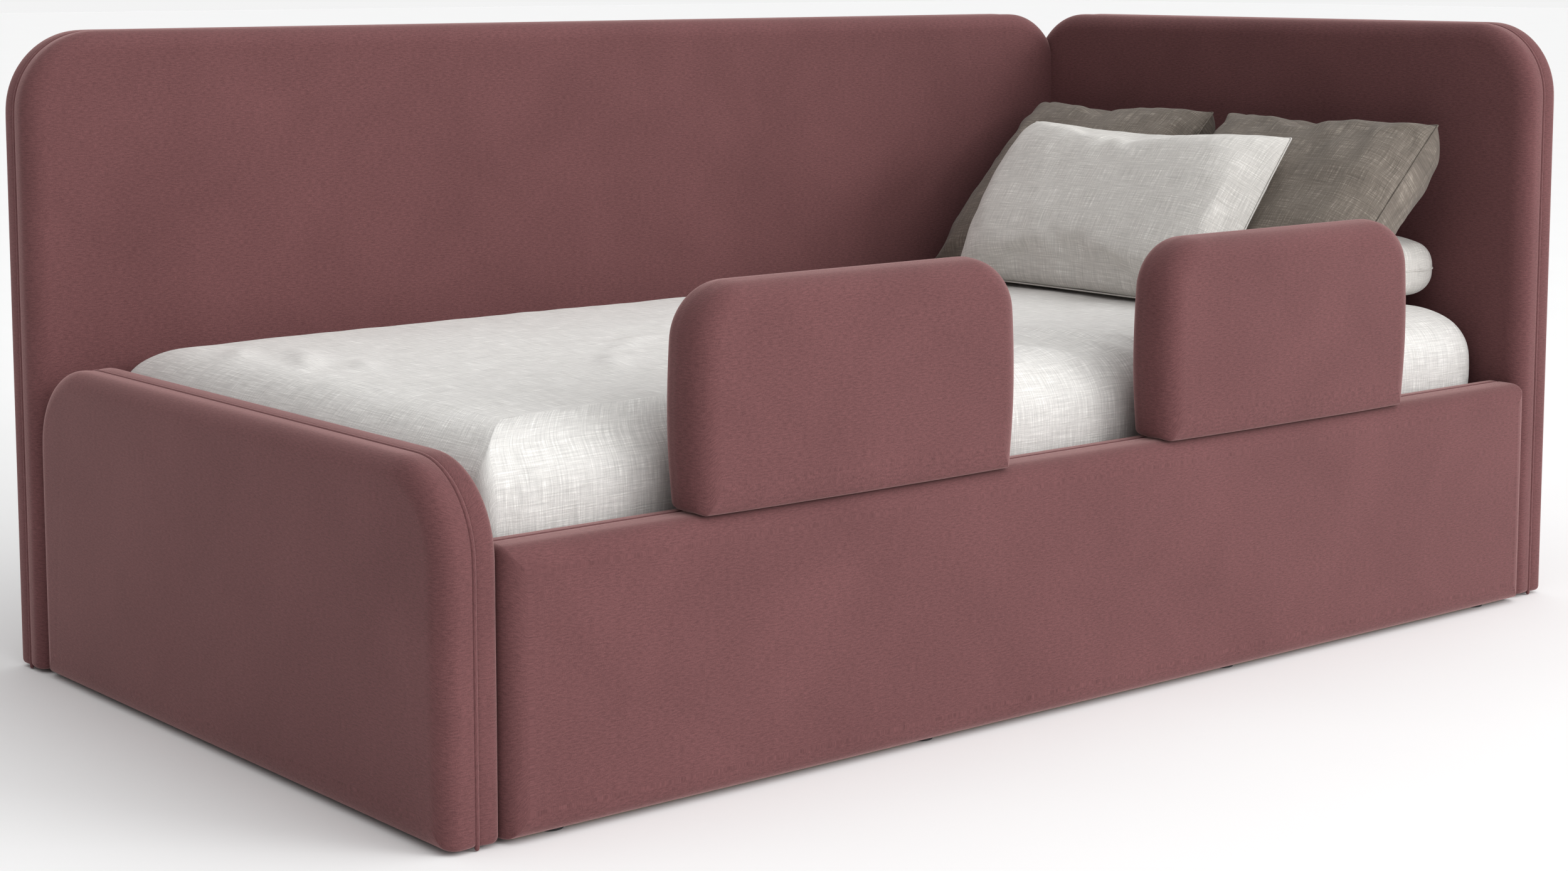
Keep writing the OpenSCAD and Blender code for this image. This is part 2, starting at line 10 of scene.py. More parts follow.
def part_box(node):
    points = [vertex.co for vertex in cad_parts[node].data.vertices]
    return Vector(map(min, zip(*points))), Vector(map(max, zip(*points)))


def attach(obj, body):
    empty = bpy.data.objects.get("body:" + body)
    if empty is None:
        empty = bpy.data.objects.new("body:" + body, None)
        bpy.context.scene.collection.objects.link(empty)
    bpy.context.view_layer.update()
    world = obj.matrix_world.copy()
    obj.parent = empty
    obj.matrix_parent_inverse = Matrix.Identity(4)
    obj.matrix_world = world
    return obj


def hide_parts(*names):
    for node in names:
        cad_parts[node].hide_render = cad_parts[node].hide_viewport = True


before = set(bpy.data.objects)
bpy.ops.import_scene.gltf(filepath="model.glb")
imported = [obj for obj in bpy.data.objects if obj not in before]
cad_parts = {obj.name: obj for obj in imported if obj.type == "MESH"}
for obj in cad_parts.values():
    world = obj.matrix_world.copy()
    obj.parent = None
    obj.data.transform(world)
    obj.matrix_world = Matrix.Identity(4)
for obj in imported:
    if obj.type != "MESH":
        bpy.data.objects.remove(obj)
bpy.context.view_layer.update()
scene = bpy.context.scene

MM = 0.001
PANEL_ROUND = 97 * MM       # top corners of the tall and low panels
PIPING_D = 6 * MM
PIPING_PROUD = 1.5 * MM
BOARD_INSET = 14 * MM       # from a panel's edge to its board
BOARD_HALF = 8 * MM         # half a panel board's thickness
GRID = 24 * MM              # mesh spacing over a wide face
ARC = 6                     # steps in half a corner
TINY = 0.6 * MM             # smallest corner radius that a ring keeps


# ---------------------------------------------------------------- meshes

def mesh_piece(name, points, faces, threads):
    """A smooth piece. `threads` keeps where each point lies on the flat cloth, for the weave."""
    mesh = bpy.data.meshes.new(name)
    mesh.from_pydata([tuple(p) for p in points], [], faces)
    flat = mesh.attributes.new("threads", "FLOAT_VECTOR", "POINT")
    flat.data.foreach_set("vector", np.asarray(threads, np.float32).ravel())
    work = bmesh.new()
    work.from_mesh(mesh)
    bmesh.ops.recalc_face_normals(work, faces=work.faces)
    for face in work.faces:
        face.smooth = True
    work.to_mesh(mesh)
    work.free()
    piece = bpy.data.objects.new(name, mesh)
    scene.collection.objects.link(piece)
    smooth = piece.modifiers.new("smooth", "SUBSURF")
    smooth.levels = 1
    smooth.render_levels = 1
    return piece


def ring_sides(shape, inset, counts):
    """The four sides of an outline with round corners, drawn `inset` inside it. Each side runs from
    the middle of one corner to the middle of the next: bottom, right, top, left."""
    x0, x1, low, high, low_r, top_r = shape
    corners = [(x0, low, 1, 1, low_r), (x1, low, -1, 1, low_r),
               (x1, high, -1, -1, top_r), (x0, high, 1, -1, top_r)]
    arcs = []
    for k, (x, z, sx, sz, r) in enumerate(corners):
        reach = max(r, inset + TINY)
        a = np.radians(180 + 90 * k + np.linspace(0, 90, 2 * ARC + 1))
        arcs.append(np.stack([x + sx * reach + (reach - inset) * np.cos(a),
                              z + sz * reach + (reach - inset) * np.sin(a)], 1))
    sides = []
    for k, n in enumerate(counts):
        first = arcs[k][ARC:]
        last = arcs[(k + 1) % 4][:ARC + 1]
        sides.append(np.concatenate([first, np.linspace(first[-1], last[0], n + 1)[1:-1], last]))
    return sides


def ring(sides):
    """Four sides joined into one closed ring of points."""
    return np.concatenate([s[:-1] for s in sides])


def filled(sides):
    """A grid of points inside a ring, blended from its four sides."""
    b, r, t, l = sides[0], sides[1], sides[2][::-1], sides[3][::-1]
    s = np.linspace(0, 1, len(b))[:, None, None]
    q = np.linspace(0, 1, len(r))[None, :, None]
    corners = (1 - s) * (1 - q) * b[0] + s * (1 - q) * b[-1] + (1 - s) * q * t[0] + s * q * t[-1]
    return (1 - q) * b[:, None] + q * t[:, None] + (1 - s) * l[None] + s * r[None] - corners


def grid_rim(nu, nv):
    """Numbers of a grid's edge points, in a ring's order."""
    at = lambda i, j: i * (nv + 1) + j
    return ([at(i, 0) for i in range(nu)] + [at(nu, j) for j in range(nv)]
            + [at(i, nv) for i in range(nu, 0, -1)] + [at(0, j) for j in range(nv, 0, -1)])


def grid_faces(nu, nv):
    """Faces of a grid that is nu cells by nv."""
    at = lambda i, j: i * (nv + 1) + j
    return [(at(i, j), at(i + 1, j), at(i + 1, j + 1), at(i, j + 1))
            for i in range(nu) for j in range(nv)]


def strip_faces(a, b):
    """Faces between two closed rings of point numbers."""
    return [(a[k], a[(k + 1) % len(a)], b[(k + 1) % len(b)], b[k]) for k in range(len(a))]


def shell_of_rings(shape, profile, closed=True, grid=GRID):
    """Points (u, v, n), cloth places and faces of a form whose outline is `shape`, which is (low u,
    high u, low v, high v, radius of the low corners, radius of the high ones). `profile` is a list of
    (inset, height): the first is the edge of the front face and the last that of the back."""
    x0, x1, low, high = shape[:4]
    counts = [max(2, round((x1 - x0) / grid)), max(2, round((high - low) / grid))] * 2
    outer = ring(ring_sides(shape, 0, counts))
    first_sides = ring_sides(shape, profile[0][0], counts)
    face = filled(first_sides)
    nu, nv = face.shape[0] - 1, face.shape[1] - 1
    flat = face.reshape(-1, 2)
    points = [np.column_stack([flat, np.full(len(flat), profile[0][1])])]
    threads = [np.column_stack([flat, np.zeros(len(flat))])]
    faces = grid_faces(nu, nv)
    last = grid_rim(nu, nv)
    start = len(flat)
    away = outer - ring(ring_sides(shape, 8 * TINY, counts))
    away /= np.linalg.norm(away, axis=1)[:, None]
    edge = ring(first_sides)
    run = 0
    for (d0, n0), (d1, n1) in zip(profile, profile[1:]):
        run += math.hypot(d1 - d0, n1 - n0)
        flat = ring(ring_sides(shape, d1, counts))
        points.append(np.column_stack([flat, np.full(len(flat), n1)]))
        threads.append(np.column_stack([edge + away * run, np.zeros(len(flat))]))
        now = list(range(start, start + len(flat)))
        faces += strip_faces(last, now)
        last = now
        start += len(flat)
    if closed:
        flat = filled(ring_sides(shape, profile[-1][0], counts)).reshape(-1, 2)
        rim = grid_rim(nu, nv)
        number = {p: last[k] for k, p in enumerate(rim)}
        inner = [p for p in range(len(flat)) if p not in number]
        number.update({p: start + k for k, p in enumerate(inner)})
        points.append(np.column_stack([flat[inner], np.full(len(inner), profile[-1][1])]))
        threads.append(np.column_stack([flat[inner], np.zeros(len(inner))]))
        faces += [tuple(number[p] for p in f) for f in grid_faces(nu, nv)]
    return np.concatenate(points), np.concatenate(threads), faces


def rounded_edge(thickness, r):
    """Profile of a face that turns over a round edge, from the face down to the side."""
    steps = np.radians(np.linspace(90, 0, 9))
    return [(r * (1 - math.cos(a)), thickness - r + r * math.sin(a)) for a in steps]


def swell(u, v, shape, fullness=0.35):
    """0 at the outline, 1 over the middle of a face."""
    s = np.clip((u - shape[0]) / (shape[1] - shape[0]), 0, 1)
    t = np.clip((v - shape[2]) / (shape[3] - shape[2]), 0, 1)
    return (16 * s * (1 - s) * t * (1 - t)) ** fullness


def waves(points, size, seed):
    """Smooth noise from -1 to 1 with features about `size` across."""
    apart = Vector((seed * 7.3, seed * 3.1, seed))
    return np.array([noise.noise(Vector(p) / size + apart) for p in points])


def tube(name, path, radius, side_of, closed=False, sides=10):
    """A round tube along a path. `side_of` is a direction square to the whole path."""
    path = np.asarray(path, float)
    n = len(path)
    ahead = np.roll(path, -1, 0) - np.roll(path, 1, 0)
    if not closed:
        ahead[0] = path[1] - path[0]
        ahead[-1] = path[-1] - path[-2]
    ahead /= np.linalg.norm(ahead, axis=1)[:, None]
    out = np.cross(ahead, np.asarray(side_of, float))
    out /= np.linalg.norm(out, axis=1)[:, None]
    over = np.cross(ahead, out)
    stations = [(k, 0.0, 1.0) for k in range(n)]
    if not closed:
        # a domed end of two smaller rings and a flat
        dome = [(math.sin(a), math.cos(a)) for a in np.radians([70, 40])]
        stations = [(0, -s, c) for s, c in dome] + stations + [(n - 1, s, c) for s, c in reversed(dome)]
    turns = np.linspace(0, 2 * math.pi, sides, endpoint=False)
    points = []
    threads = []
    run = np.concatenate([[0], np.cumsum(np.linalg.norm(np.diff(path, axis=0), axis=1))])
    for k, push, scale in stations:
        for a in turns:
            points.append(path[k] + ahead[k] * push * radius
                          + (out[k] * math.cos(a) + over[k] * math.sin(a)) * radius * scale)
            threads.append((run[k], a * radius, 0))
    rows = len(stations)
    at = lambda i, j: (i % rows) * sides + j % sides
    faces = [(at(i, j), at(i + 1, j), at(i + 1, j + 1), at(i, j + 1))
             for i in range(rows if closed else rows - 1) for j in range(sides)]
    if not closed:
        faces.append(tuple(range(sides)))
        faces.append(tuple(reversed(range((rows - 1) * sides, rows * sides))))
    return mesh_piece(name, points, faces, threads)


# ---------------------------------------------------------------- materials

# a noise or cell pattern at scale 1 has features about a metre across, so its scale is 1 / size
WAVE_REPEAT = math.tau / 20     # what a wave pattern at scale 1 repeats in, in metres


def linear(hex_colour):
    """An sRGB hex colour as linear RGBA."""
    parts = [int(hex_colour[i:i + 2], 16) / 255 for i in (1, 3, 5)]
    return [p / 12.92 if p <= 0.04045 else ((p + 0.055) / 1.055) ** 2.4 for p in parts] + [1.0]


def add(tree, kind, inputs=None, **settings):
    """Adds one node with its settings. A socket given as an input is linked, and anything else is
    that input's value."""
    made = tree.nodes.new(kind)
    for key, value in settings.items():
        setattr(made, key, value)
    for key, value in (inputs or {}).items():
        if isinstance(value, bpy.types.NodeSocket):
            tree.links.new(value, made.inputs[key])
        else:
            made.inputs[key].default_value = value
    return made


def new_material(name):
    """An empty material and its tree, with the shader already joined to the output."""
    material = bpy.data.materials.new(name)
    material.use_nodes = True
    tree = material.node_tree
    tree.nodes.clear()
    shader = add(tree, "ShaderNodeBsdfPrincipled")
    add(tree, "ShaderNodeOutputMaterial", {"Surface": shader.outputs[0]})
    return material, tree, shader


def cut_pile_velour():
    """Short cut-pile polyester velour, knitted and brushed: a soft dusty rose that lightens at the
    edges, where the pile is seen from its side, with cloudy patches where it has been stroked."""
    material, tree, shader = new_material("cut_pile_velour")
    threads = add(tree, "ShaderNodeAttribute", attribute_name="threads").outputs["Vector"]
    # ribs of the knitted ground, drawn 1.6 mm apart, coarser than real ones so that they show
    rib_length, rib_pitch = 6.6667 * MM, 1.6129 * MM
    rib_place = add(tree, "ShaderNodeMapping", {"Vector": threads,
                                                "Scale": (1 / rib_length, 1 / rib_pitch, 1)}).outputs[0]
    ribs = add(tree, "ShaderNodeTexNoise", {"Vector": rib_place, "Scale": 1, "Detail": 3, "Roughness": 0.6})
    # tufts of the pile, drawn 1.2 mm across, several times the real size
    tuft = 1.2195 * MM
    tufts = add(tree, "ShaderNodeTexNoise", {"Vector": threads, "Scale": 1 / tuft, "Detail": 2,
                                             "Roughness": 0.7})
    # patches where the pile has been stroked another way
    patch = 166.67 * MM
    patches = add(tree, "ShaderNodeTexNoise", {"Vector": threads, "Scale": 1 / patch, "Detail": 3,
                                               "Roughness": 0.55, "Distortion": 0.4})
    grain = add(tree, "ShaderNodeMix", {0: 0.45, 2: ribs.outputs[0], 3: tufts.outputs[0]}).outputs[0]
    shade = add(tree, "ShaderNodeMapRange", {"Value": patches.outputs[0], "From Min": 0.3, "From Max": 0.7,
                                             "To Min": 0, "To Max": 0.55}).outputs[0]
    cloudy = add(tree, "ShaderNodeMix", {0: shade, 6: linear("#6d4748"), 7: linear("#5e3c3d")},
                 data_type="RGBA").outputs[2]
    fleck = add(tree, "ShaderNodeMapRange", {"Value": grain, "From Min": 0.35, "From Max": 0.65,
                                             "To Min": 0.72, "To Max": 1.28}).outputs[0]
    colour = add(tree, "ShaderNodeVectorMath", {0: cloudy, 3: fleck}, operation="SCALE").outputs[0]
    bump = add(tree, "ShaderNodeBump", {"Height": grain, "Strength": 0.5, "Distance": 1.2 * MM})
    tree.links.new(colour, shader.inputs["Base Color"])
    tree.links.new(bump.outputs[0], shader.inputs["Normal"])
    shader.inputs["Roughness"].default_value = 0.9
    shader.inputs["Specular IOR Level"].default_value = 0.2
    shader.inputs["Sheen Weight"].default_value = 0.85
    shader.inputs["Sheen Roughness"].default_value = 0.35
    shader.inputs["Sheen Tint"].default_value = linear("#e0b9b6")
    return material


def slub_linen(name, warp, weft, slub, pitch, contrast, depth):
    """Plain-woven linen, washed: uneven threads both ways, with long slubs lighter than the ground.
    `pitch` is the thread spacing as drawn, about twice the real 0.8 mm so that it shows."""
    material, tree, shader = new_material(name)
    threads = add(tree, "ShaderNodeAttribute", attribute_name="threads").outputs["Vector"]
    slub_length = 41.667 * MM
    along = add(tree, "ShaderNodeMapping", {"Vector": threads,
                                            "Scale": (1 / slub_length, 1 / pitch, 1)}).outputs[0]
    # moved along, so that the two sets of threads don't match
    across = add(tree, "ShaderNodeMapping", {"Vector": threads, "Location": (3, 7, 0),
                                             "Scale": (1 / pitch, 1 / slub_length, 1)}).outputs[0]
    warps = add(tree, "ShaderNodeTexNoise", {"Vector": along, "Scale": 1, "Detail": 4, "Roughness": 0.7})
    wefts = add(tree, "ShaderNodeTexNoise", {"Vector": across, "Scale": 1, "Detail": 4, "Roughness": 0.7})
    # loose and tight places, about two threads across
    cells = add(tree, "ShaderNodeTexNoise", {"Vector": threads, "Scale": 0.45 / pitch, "Detail": 2})
    both = add(tree, "ShaderNodeMath", {0: warps.outputs[0], 1: wefts.outputs[0]},
               operation="ADD").outputs[0]
    weave = add(tree, "ShaderNodeMapRange", {"Value": both, "From Min": 0.72, "From Max": 1.28}).outputs[0]
    washed_patch = 90.909 * MM
    worn = add(tree, "ShaderNodeTexNoise", {"Vector": threads, "Scale": 1 / washed_patch, "Detail": 4,
                                            "Roughness": 0.6})
    ground = add(tree, "ShaderNodeMix", {0: worn.outputs[0], 6: linear(warp), 7: linear(weft)},
                 data_type="RGBA").outputs[2]
    streak = add(tree, "ShaderNodeMapRange", {"Value": both, "From Min": 1.08, "From Max": 1.3}).outputs[0]
    slubbed = add(tree, "ShaderNodeMix", {0: streak, 6: ground, 7: linear(slub)},
                  data_type="RGBA").outputs[2]
    fleck = add(tree, "ShaderNodeMapRange", {"Value": weave, "To Min": 1 - contrast,
                                             "To Max": 1 + contrast / 2})
    colour = add(tree, "ShaderNodeVectorMath", {0: slubbed, 3: fleck.outputs[0]},
                 operation="SCALE").outputs[0]
    relief = add(tree, "ShaderNodeMix", {0: 0.35, 2: weave, 3: cells.outputs[0]}).outputs[0]
    bump = add(tree, "ShaderNodeBump", {"Height": relief, "Strength": 0.5, "Distance": depth})
    tree.links.new(colour, shader.inputs["Base Color"])
    tree.links.new(bump.outputs[0], shader.inputs["Normal"])
    shader.inputs["Roughness"].default_value = 0.88
    shader.inputs["Specular IOR Level"].default_value = 0.25
    shader.inputs["Sheen Weight"].default_value = 0.12
    return material


def knitted_ticking():
    """Knitted mattress cover: white, matt, with a fine rib about 4 mm apart."""
    material, tree, shader = new_material("knitted_ticking")
    threads = add(tree, "ShaderNodeAttribute", attribute_name="threads").outputs["Vector"]
    rib_pitch = 3.927 * MM
    ribs = add(tree, "ShaderNodeTexWave", {"Vector": threads, "Scale": WAVE_REPEAT / rib_pitch,
                                           "Distortion": 1, "Detail": 2})
    colour = add(tree, "ShaderNodeMix", {0: ribs.outputs[1], 6: linear("#dcdad5"), 7: linear("#efeeea")},
                 data_type="RGBA").outputs[2]
    bump = add(tree, "ShaderNodeBump", {"Height": ribs.outputs[1], "Strength": 0.4, "Distance": 0.8 * MM})
    tree.links.new(colour, shader.inputs["Base Color"])
    tree.links.new(bump.outputs[0], shader.inputs["Normal"])
    shader.inputs["Roughness"].default_value = 0.85
    return material


def sawn_timber(name, early, late, ring_pitch, roughness, coat):
    """Planed or sanded wood: bands of darker late wood stacked up the height and drawn out long in
    x and y, with fine pores."""
    material, tree, shader = new_material(name)
    place = add(tree, "ShaderNodeTexCoord").outputs["Object"]
    band_length = 833.33 * MM
    band_scale = (1 / band_length, 1 / band_length, 1 / ring_pitch)
    grain_place = add(tree, "ShaderNodeMapping", {"Vector": place, "Scale": band_scale}).outputs[0]
    grain = add(tree, "ShaderNodeTexNoise", {"Vector": grain_place, "Scale": 1, "Detail": 5,
                                             "Distortion": 1.2})
    # pores, drawn several times the real size
    pore = 1.1111 * MM
    pores = add(tree, "ShaderNodeTexNoise", {"Vector": place, "Scale": 1 / pore, "Detail": 2})
    colour = add(tree, "ShaderNodeMix", {0: grain.outputs[0], 6: linear(early), 7: linear(late)},
                 data_type="RGBA").outputs[2]
    height = add(tree, "ShaderNodeMix", {0: 0.4, 2: grain.outputs[0], 3: pores.outputs[0]}).outputs[0]
    bump = add(tree, "ShaderNodeBump", {"Height": height, "Strength": 0.25, "Distance": 0.4 * MM})
    tree.links.new(colour, shader.inputs["Base Color"])
    tree.links.new(bump.outputs[0], shader.inputs["Normal"])
    shader.inputs["Roughness"].default_value = roughness
    shader.inputs["Coat Weight"].default_value = coat
    return material


def zinc_plated_steel():
    """Pressed and turned steel, bright zinc plated: cool grey with a faint spangle and a soft gloss."""
    material, tree, shader = new_material("zinc_plated_steel")
    place = add(tree, "ShaderNodeTexCoord").outputs["Object"]
    crystal = 6.25 * MM
    spangle = add(tree, "ShaderNodeTexVoronoi", {"Vector": place, "Scale": 1 / crystal})
    colour = add(tree, "ShaderNodeMix", {0: spangle.outputs["Distance"], 6: linear("#c3c6ca"),
                                         7: linear("#a9adb3")}, data_type="RGBA").outputs[2]
    gloss = add(tree, "ShaderNodeMapRange", {"Value": spangle.outputs["Distance"], "To Min": 0.26,
                                             "To Max": 0.42}).outputs[0]
    tree.links.new(colour, shader.inputs["Base Color"])
    tree.links.new(gloss, shader.inputs["Roughness"])
    shader.inputs["Metallic"].default_value = 1.0
    return material


def moulded_black_plastic():
    """Injection-moulded polypropylene: near black, with a fine spark-eroded grain."""
    material, tree, shader = new_material("moulded_black_plastic")
    place = add(tree, "ShaderNodeTexCoord").outputs["Object"]
    # pits of the mould's grain, drawn several times the real size
    pit = 0.66667 * MM
    grain = add(tree, "ShaderNodeTexNoise", {"Vector": place, "Scale": 1 / pit, "Detail": 2})
    colour = add(tree, "ShaderNodeMix", {0: grain.outputs[0], 6: linear("#1b1b1c"), 7: linear("#2a2a2b")},
                 data_type="RGBA").outputs[2]
    bump = add(tree, "ShaderNodeBump", {"Height": grain.outputs[0], "Strength": 0.3, "Distance": 0.2 * MM})
    tree.links.new(colour, shader.inputs["Base Color"])
    tree.links.new(bump.outputs[0], shader.inputs["Normal"])
    shader.inputs["Roughness"].default_value = 0.5
    return material


VELOUR = cut_pile_velour()
SHEET_LINEN = slub_linen("slub_linen_sheet", "#dedcd8", "#e6e4e1", "#f3f2ef", 1.7 * MM, 0.28, 1.3 * MM)
PILLOW_LINEN = slub_linen("slub_linen_pillow", "#dedbd6", "#d5d2cd", "#eeece8", 1.6 * MM, 0.26, 1.1 * MM)
TAUPE_LINEN = slub_linen("washed_taupe_linen", "#746b63", "#837a70", "#a0988d", 1.6 * MM, 0.42, 1.2 * MM)
TICKING = knitted_ticking()
PLYWOOD = sawn_timber("sanded_birch_plywood", "#d9bd94", "#bf9a6b", 1.4 * MM, 0.6, 0)
PINE = sawn_timber("planed_pine", "#dcc08f", "#b98d55", 4 * MM, 0.55, 0)
BEECH = sawn_timber("lacquered_beech", "#d8b48a", "#c2976a", 2 * MM, 0.4, 0.3)
STEEL = zinc_plated_steel()
PLASTIC = moulded_black_plastic()


def finish_piece(piece, body, node, material):
    """Gives a soft piece its cloth and its body, and hides the CAD node that it stands for, if one is
    given.
    """
    piece.data.materials.append(material)
    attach(piece, body)
    if node:
        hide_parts(node)
    return piece


# ---------------------------------------------------------------- upholstered panels

def placed(points, axis, seam, face):
    """(u, v, n) of a wall in the room: v is up, and n runs from the seam plane out through the face."""
    out = np.empty_like(points)
    out[:, 1 - axis] = points[:, 0]
    out[:, 2] = points[:, 1]
    out[:, axis] = seam + face * points[:, 2]
    return out


def square_cut(up, edge_r):
    """Heights of a round bottom edge, pressed nearly square by the weight on it."""
    return np.where(up < edge_r, up * (0.35 + 0.65 * np.maximum(up, 0) / edge_r), up)


def upholstered_half(node, axis, face, edge_r, crown, low_r, top_r, pocket, groove, seed, puff=0):
    """Half of a panel, out from its seam: foam under velour, with a round edge and a pocket for the
    board. axis is the one that the face looks along (0 x, 1 y), and face is 1 or -1. pocket is the
    (inset, depth) of the board's place, and groove the size of the V at the seam, or 0."""
    low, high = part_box(node)
    thickness = high[axis] - low[axis]
    seam = low[axis] if face > 0 else high[axis]
    shape = (low[1 - axis], high[1 - axis], low[2], high[2], low_r, top_r)
    profile = rounded_edge(thickness, edge_r)
    side_end = groove if groove else 2 * MM
    profile += [(0, (thickness - edge_r + side_end) / 2), (0, side_end)]
    if groove:
        profile += [(0.25 * groove, 0.4 * groove), (0.9 * groove, 0)]
    else:
        profile += [(0.3 * MM, 0)]
    # the foam swells a little past the seams all round
    profile = [(d - puff * math.sin(math.pi * np.clip(n / thickness, 0, 1)), n) for d, n in profile]
    inset, depth = pocket
    profile += [(inset - 1 * MM, 0), (inset, 1 * MM), (inset, depth - 1 * MM), (inset + 1 * MM, depth)]
    points, threads, faces = shell_of_rings(shape, profile)
    # the face crowns, and the foam under it is a little uneven
    on_face = np.clip((points[:, 2] - 0.5 * thickness) / (0.5 * thickness), 0, 1)
    wave = 0.7 * MM * waves(points, 0.22, seed) + 0.3 * MM * waves(points, 0.07, seed + 1)
    points[:, 2] += on_face * swell(points[:, 0], points[:, 1], shape) * (crown + wave)
    points[:, 1] = low[2] + square_cut(points[:, 1] - low[2], edge_r)
    piece = mesh_piece(f"{node}_velour", placed(points, axis, seam, face), faces, threads)
    return finish_piece(piece, "frame", node, VELOUR)


def panel_piping(node, axis):
    """Velour-covered piping round a panel: up one end, over both top corners and down the other."""
    low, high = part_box(node)
    r = PIPING_D / 2
    u0, u1 = low[1 - axis] + r, high[1 - axis] - r
    top = high[2] - r
    arc = PANEL_ROUND + PIPING_PROUD - r
    # the path starts a little below the CAD solid's end, and its domed tip comes lower still
    foot = low[2] - 0.5 * MM
    turn = np.radians(np.linspace(0, 90, 13))
    rise = np.linspace(foot, top - arc, 24)
    line = [(u0, z) for z in rise]
    line += [(u0 + arc - arc * math.cos(a), top - arc + arc * math.sin(a)) for a in turn[1:]]
    line += [(u, top) for u in np.linspace(u0 + arc, u1 - arc, 48)[1:]]
    line += [(u1 - arc + arc * math.sin(a), top - arc + arc * math.cos(a)) for a in turn[1:]]
    line += [(u1, z) for z in rise[::-1][1:]]
    path = placed(np.array([(u, z, 0) for u, z in line]), axis, (low[axis] + high[axis]) / 2, 1)
    side_of = (1, 0, 0) if axis == 0 else (0, 1, 0)
    return finish_piece(tube(f"{node}_velour", path, r, side_of), "frame", node, VELOUR)


FACE_R = 22 * MM            # edge of a thick padded face
COVER_R = 12 * MM           # edge of a thin padded face
PUFF = 2 * MM               # how far a panel's edge swells past its seam
LOW_R = 9 * MM              # bottom corners of a panel
GROOVE = 3.3 * MM           # V in which the piping lies
POCKET = (BOARD_INSET, BOARD_HALF)
FACE_CROWN = 2.5 * MM       # how far a thick face rises over its middle
COVER_CROWN = 1.5 * MM

for k, (side, axis, face) in enumerate([("back", 1, -1), ("head", 0, -1), ("foot", 0, -1)]):
    upholstered_half(f"{side}_panel_padding", axis, face, FACE_R, FACE_CROWN, LOW_R, PANEL_ROUND, POCKET,
                     GROOVE, seed=k + 1, puff=PUFF)
    upholstered_half(f"{side}_panel_cover", axis, -face, COVER_R, COVER_CROWN, LOW_R, PANEL_ROUND, POCKET,
                     GROOVE, seed=k + 5, puff=PUFF)
    panel_piping(f"{side}_panel_piping", axis)

FRONT_EDGE_R = 24 * MM      # edge of the front panel's padded side
FRONT_LOW_R = 8 * MM
FRONT_TOP_R = 10 * MM
FRONT_WRAP = 18 * MM        # how far the padding and the lining wrap over the board's edge
FRONT_BOARD = 24 * MM       # depth of the padding's pocket
LINING_POCKET = 0.2 * MM    # the lining lies nearly flat on the board
front_padding = upholstered_half("front_panel_padding", 1, -1, FRONT_EDGE_R, 2 * MM, FRONT_LOW_R,
                                 FRONT_TOP_R, (FRONT_WRAP, FRONT_BOARD), 0, seed=9)
upholstered_half("front_panel_lining", 1, 1, COVER_R, 1 * MM, FRONT_LOW_R, FRONT_TOP_R,
                 (FRONT_WRAP, LINING_POCKET), 0, seed=10)


SLEEVE_HOLE = 0.58          # the hole's radius, as a share of the sleeve collar's
SLEEVE_CUT = 160 * MM       # length of the cut, half of it below the collar's top


def apply_modifier(piece, name):
    """Settles one modifier into the piece's own mesh."""
    with bpy.context.temp_override(object=piece, active_object=piece, selected_objects=[piece]):
        bpy.ops.object.modifier_apply(modifier=name)


def open_for_sleeves(piece):
    """Lets the guard rails' sleeves down through the top of the front panel's padding."""
    sleeves_low, sleeves_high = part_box("rail_sleeves")
    collar = (sleeves_high.y - sleeves_low.y) / 2
    y = (sleeves_low.y + sleeves_high.y) / 2
    for rail in ("guard_rail_left_pins", "guard_rail_right_pins"):
        low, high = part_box(rail)
        pin = (high.y - low.y) / 2
        for x in (low.x + pin, high.x - pin):
            bpy.ops.mesh.primitive_cylinder_add(vertices=32, radius=SLEEVE_HOLE * collar,
                                                depth=SLEEVE_CUT, location=(x, y, sleeves_high.z))
            cutter = bpy.context.active_object
            cut = piece.modifiers.new("sleeve", "BOOLEAN")
            cut.operation = "DIFFERENCE"
            cut.object = cutter
            cut.solver = "EXACT"
            apply_modifier(piece, "sleeve")
            bpy.data.objects.remove(cutter, do_unlink=True)


apply_modifier(front_padding, "smooth")
open_for_sleeves(front_padding)


# ---------------------------------------------------------------- guard rails

RAIL_ROUND = 60 * MM        # top corners
RAIL_LOW_R = 12 * MM        # bottom corners
RAIL_EDGE = 27 * MM         # edges of its two faces
RAIL_CROWN = 4 * MM         # how far each face rises over its middle
RAIL_LIP = 12 * MM          # how far a rail's front edge hangs below the front panel's top
RAIL_LIP_FADE = 40 * MM     # height over which that hang dies away
RAIL_PUFF = 0.035           # how far the ends swell at mid-height, as a share of the half length


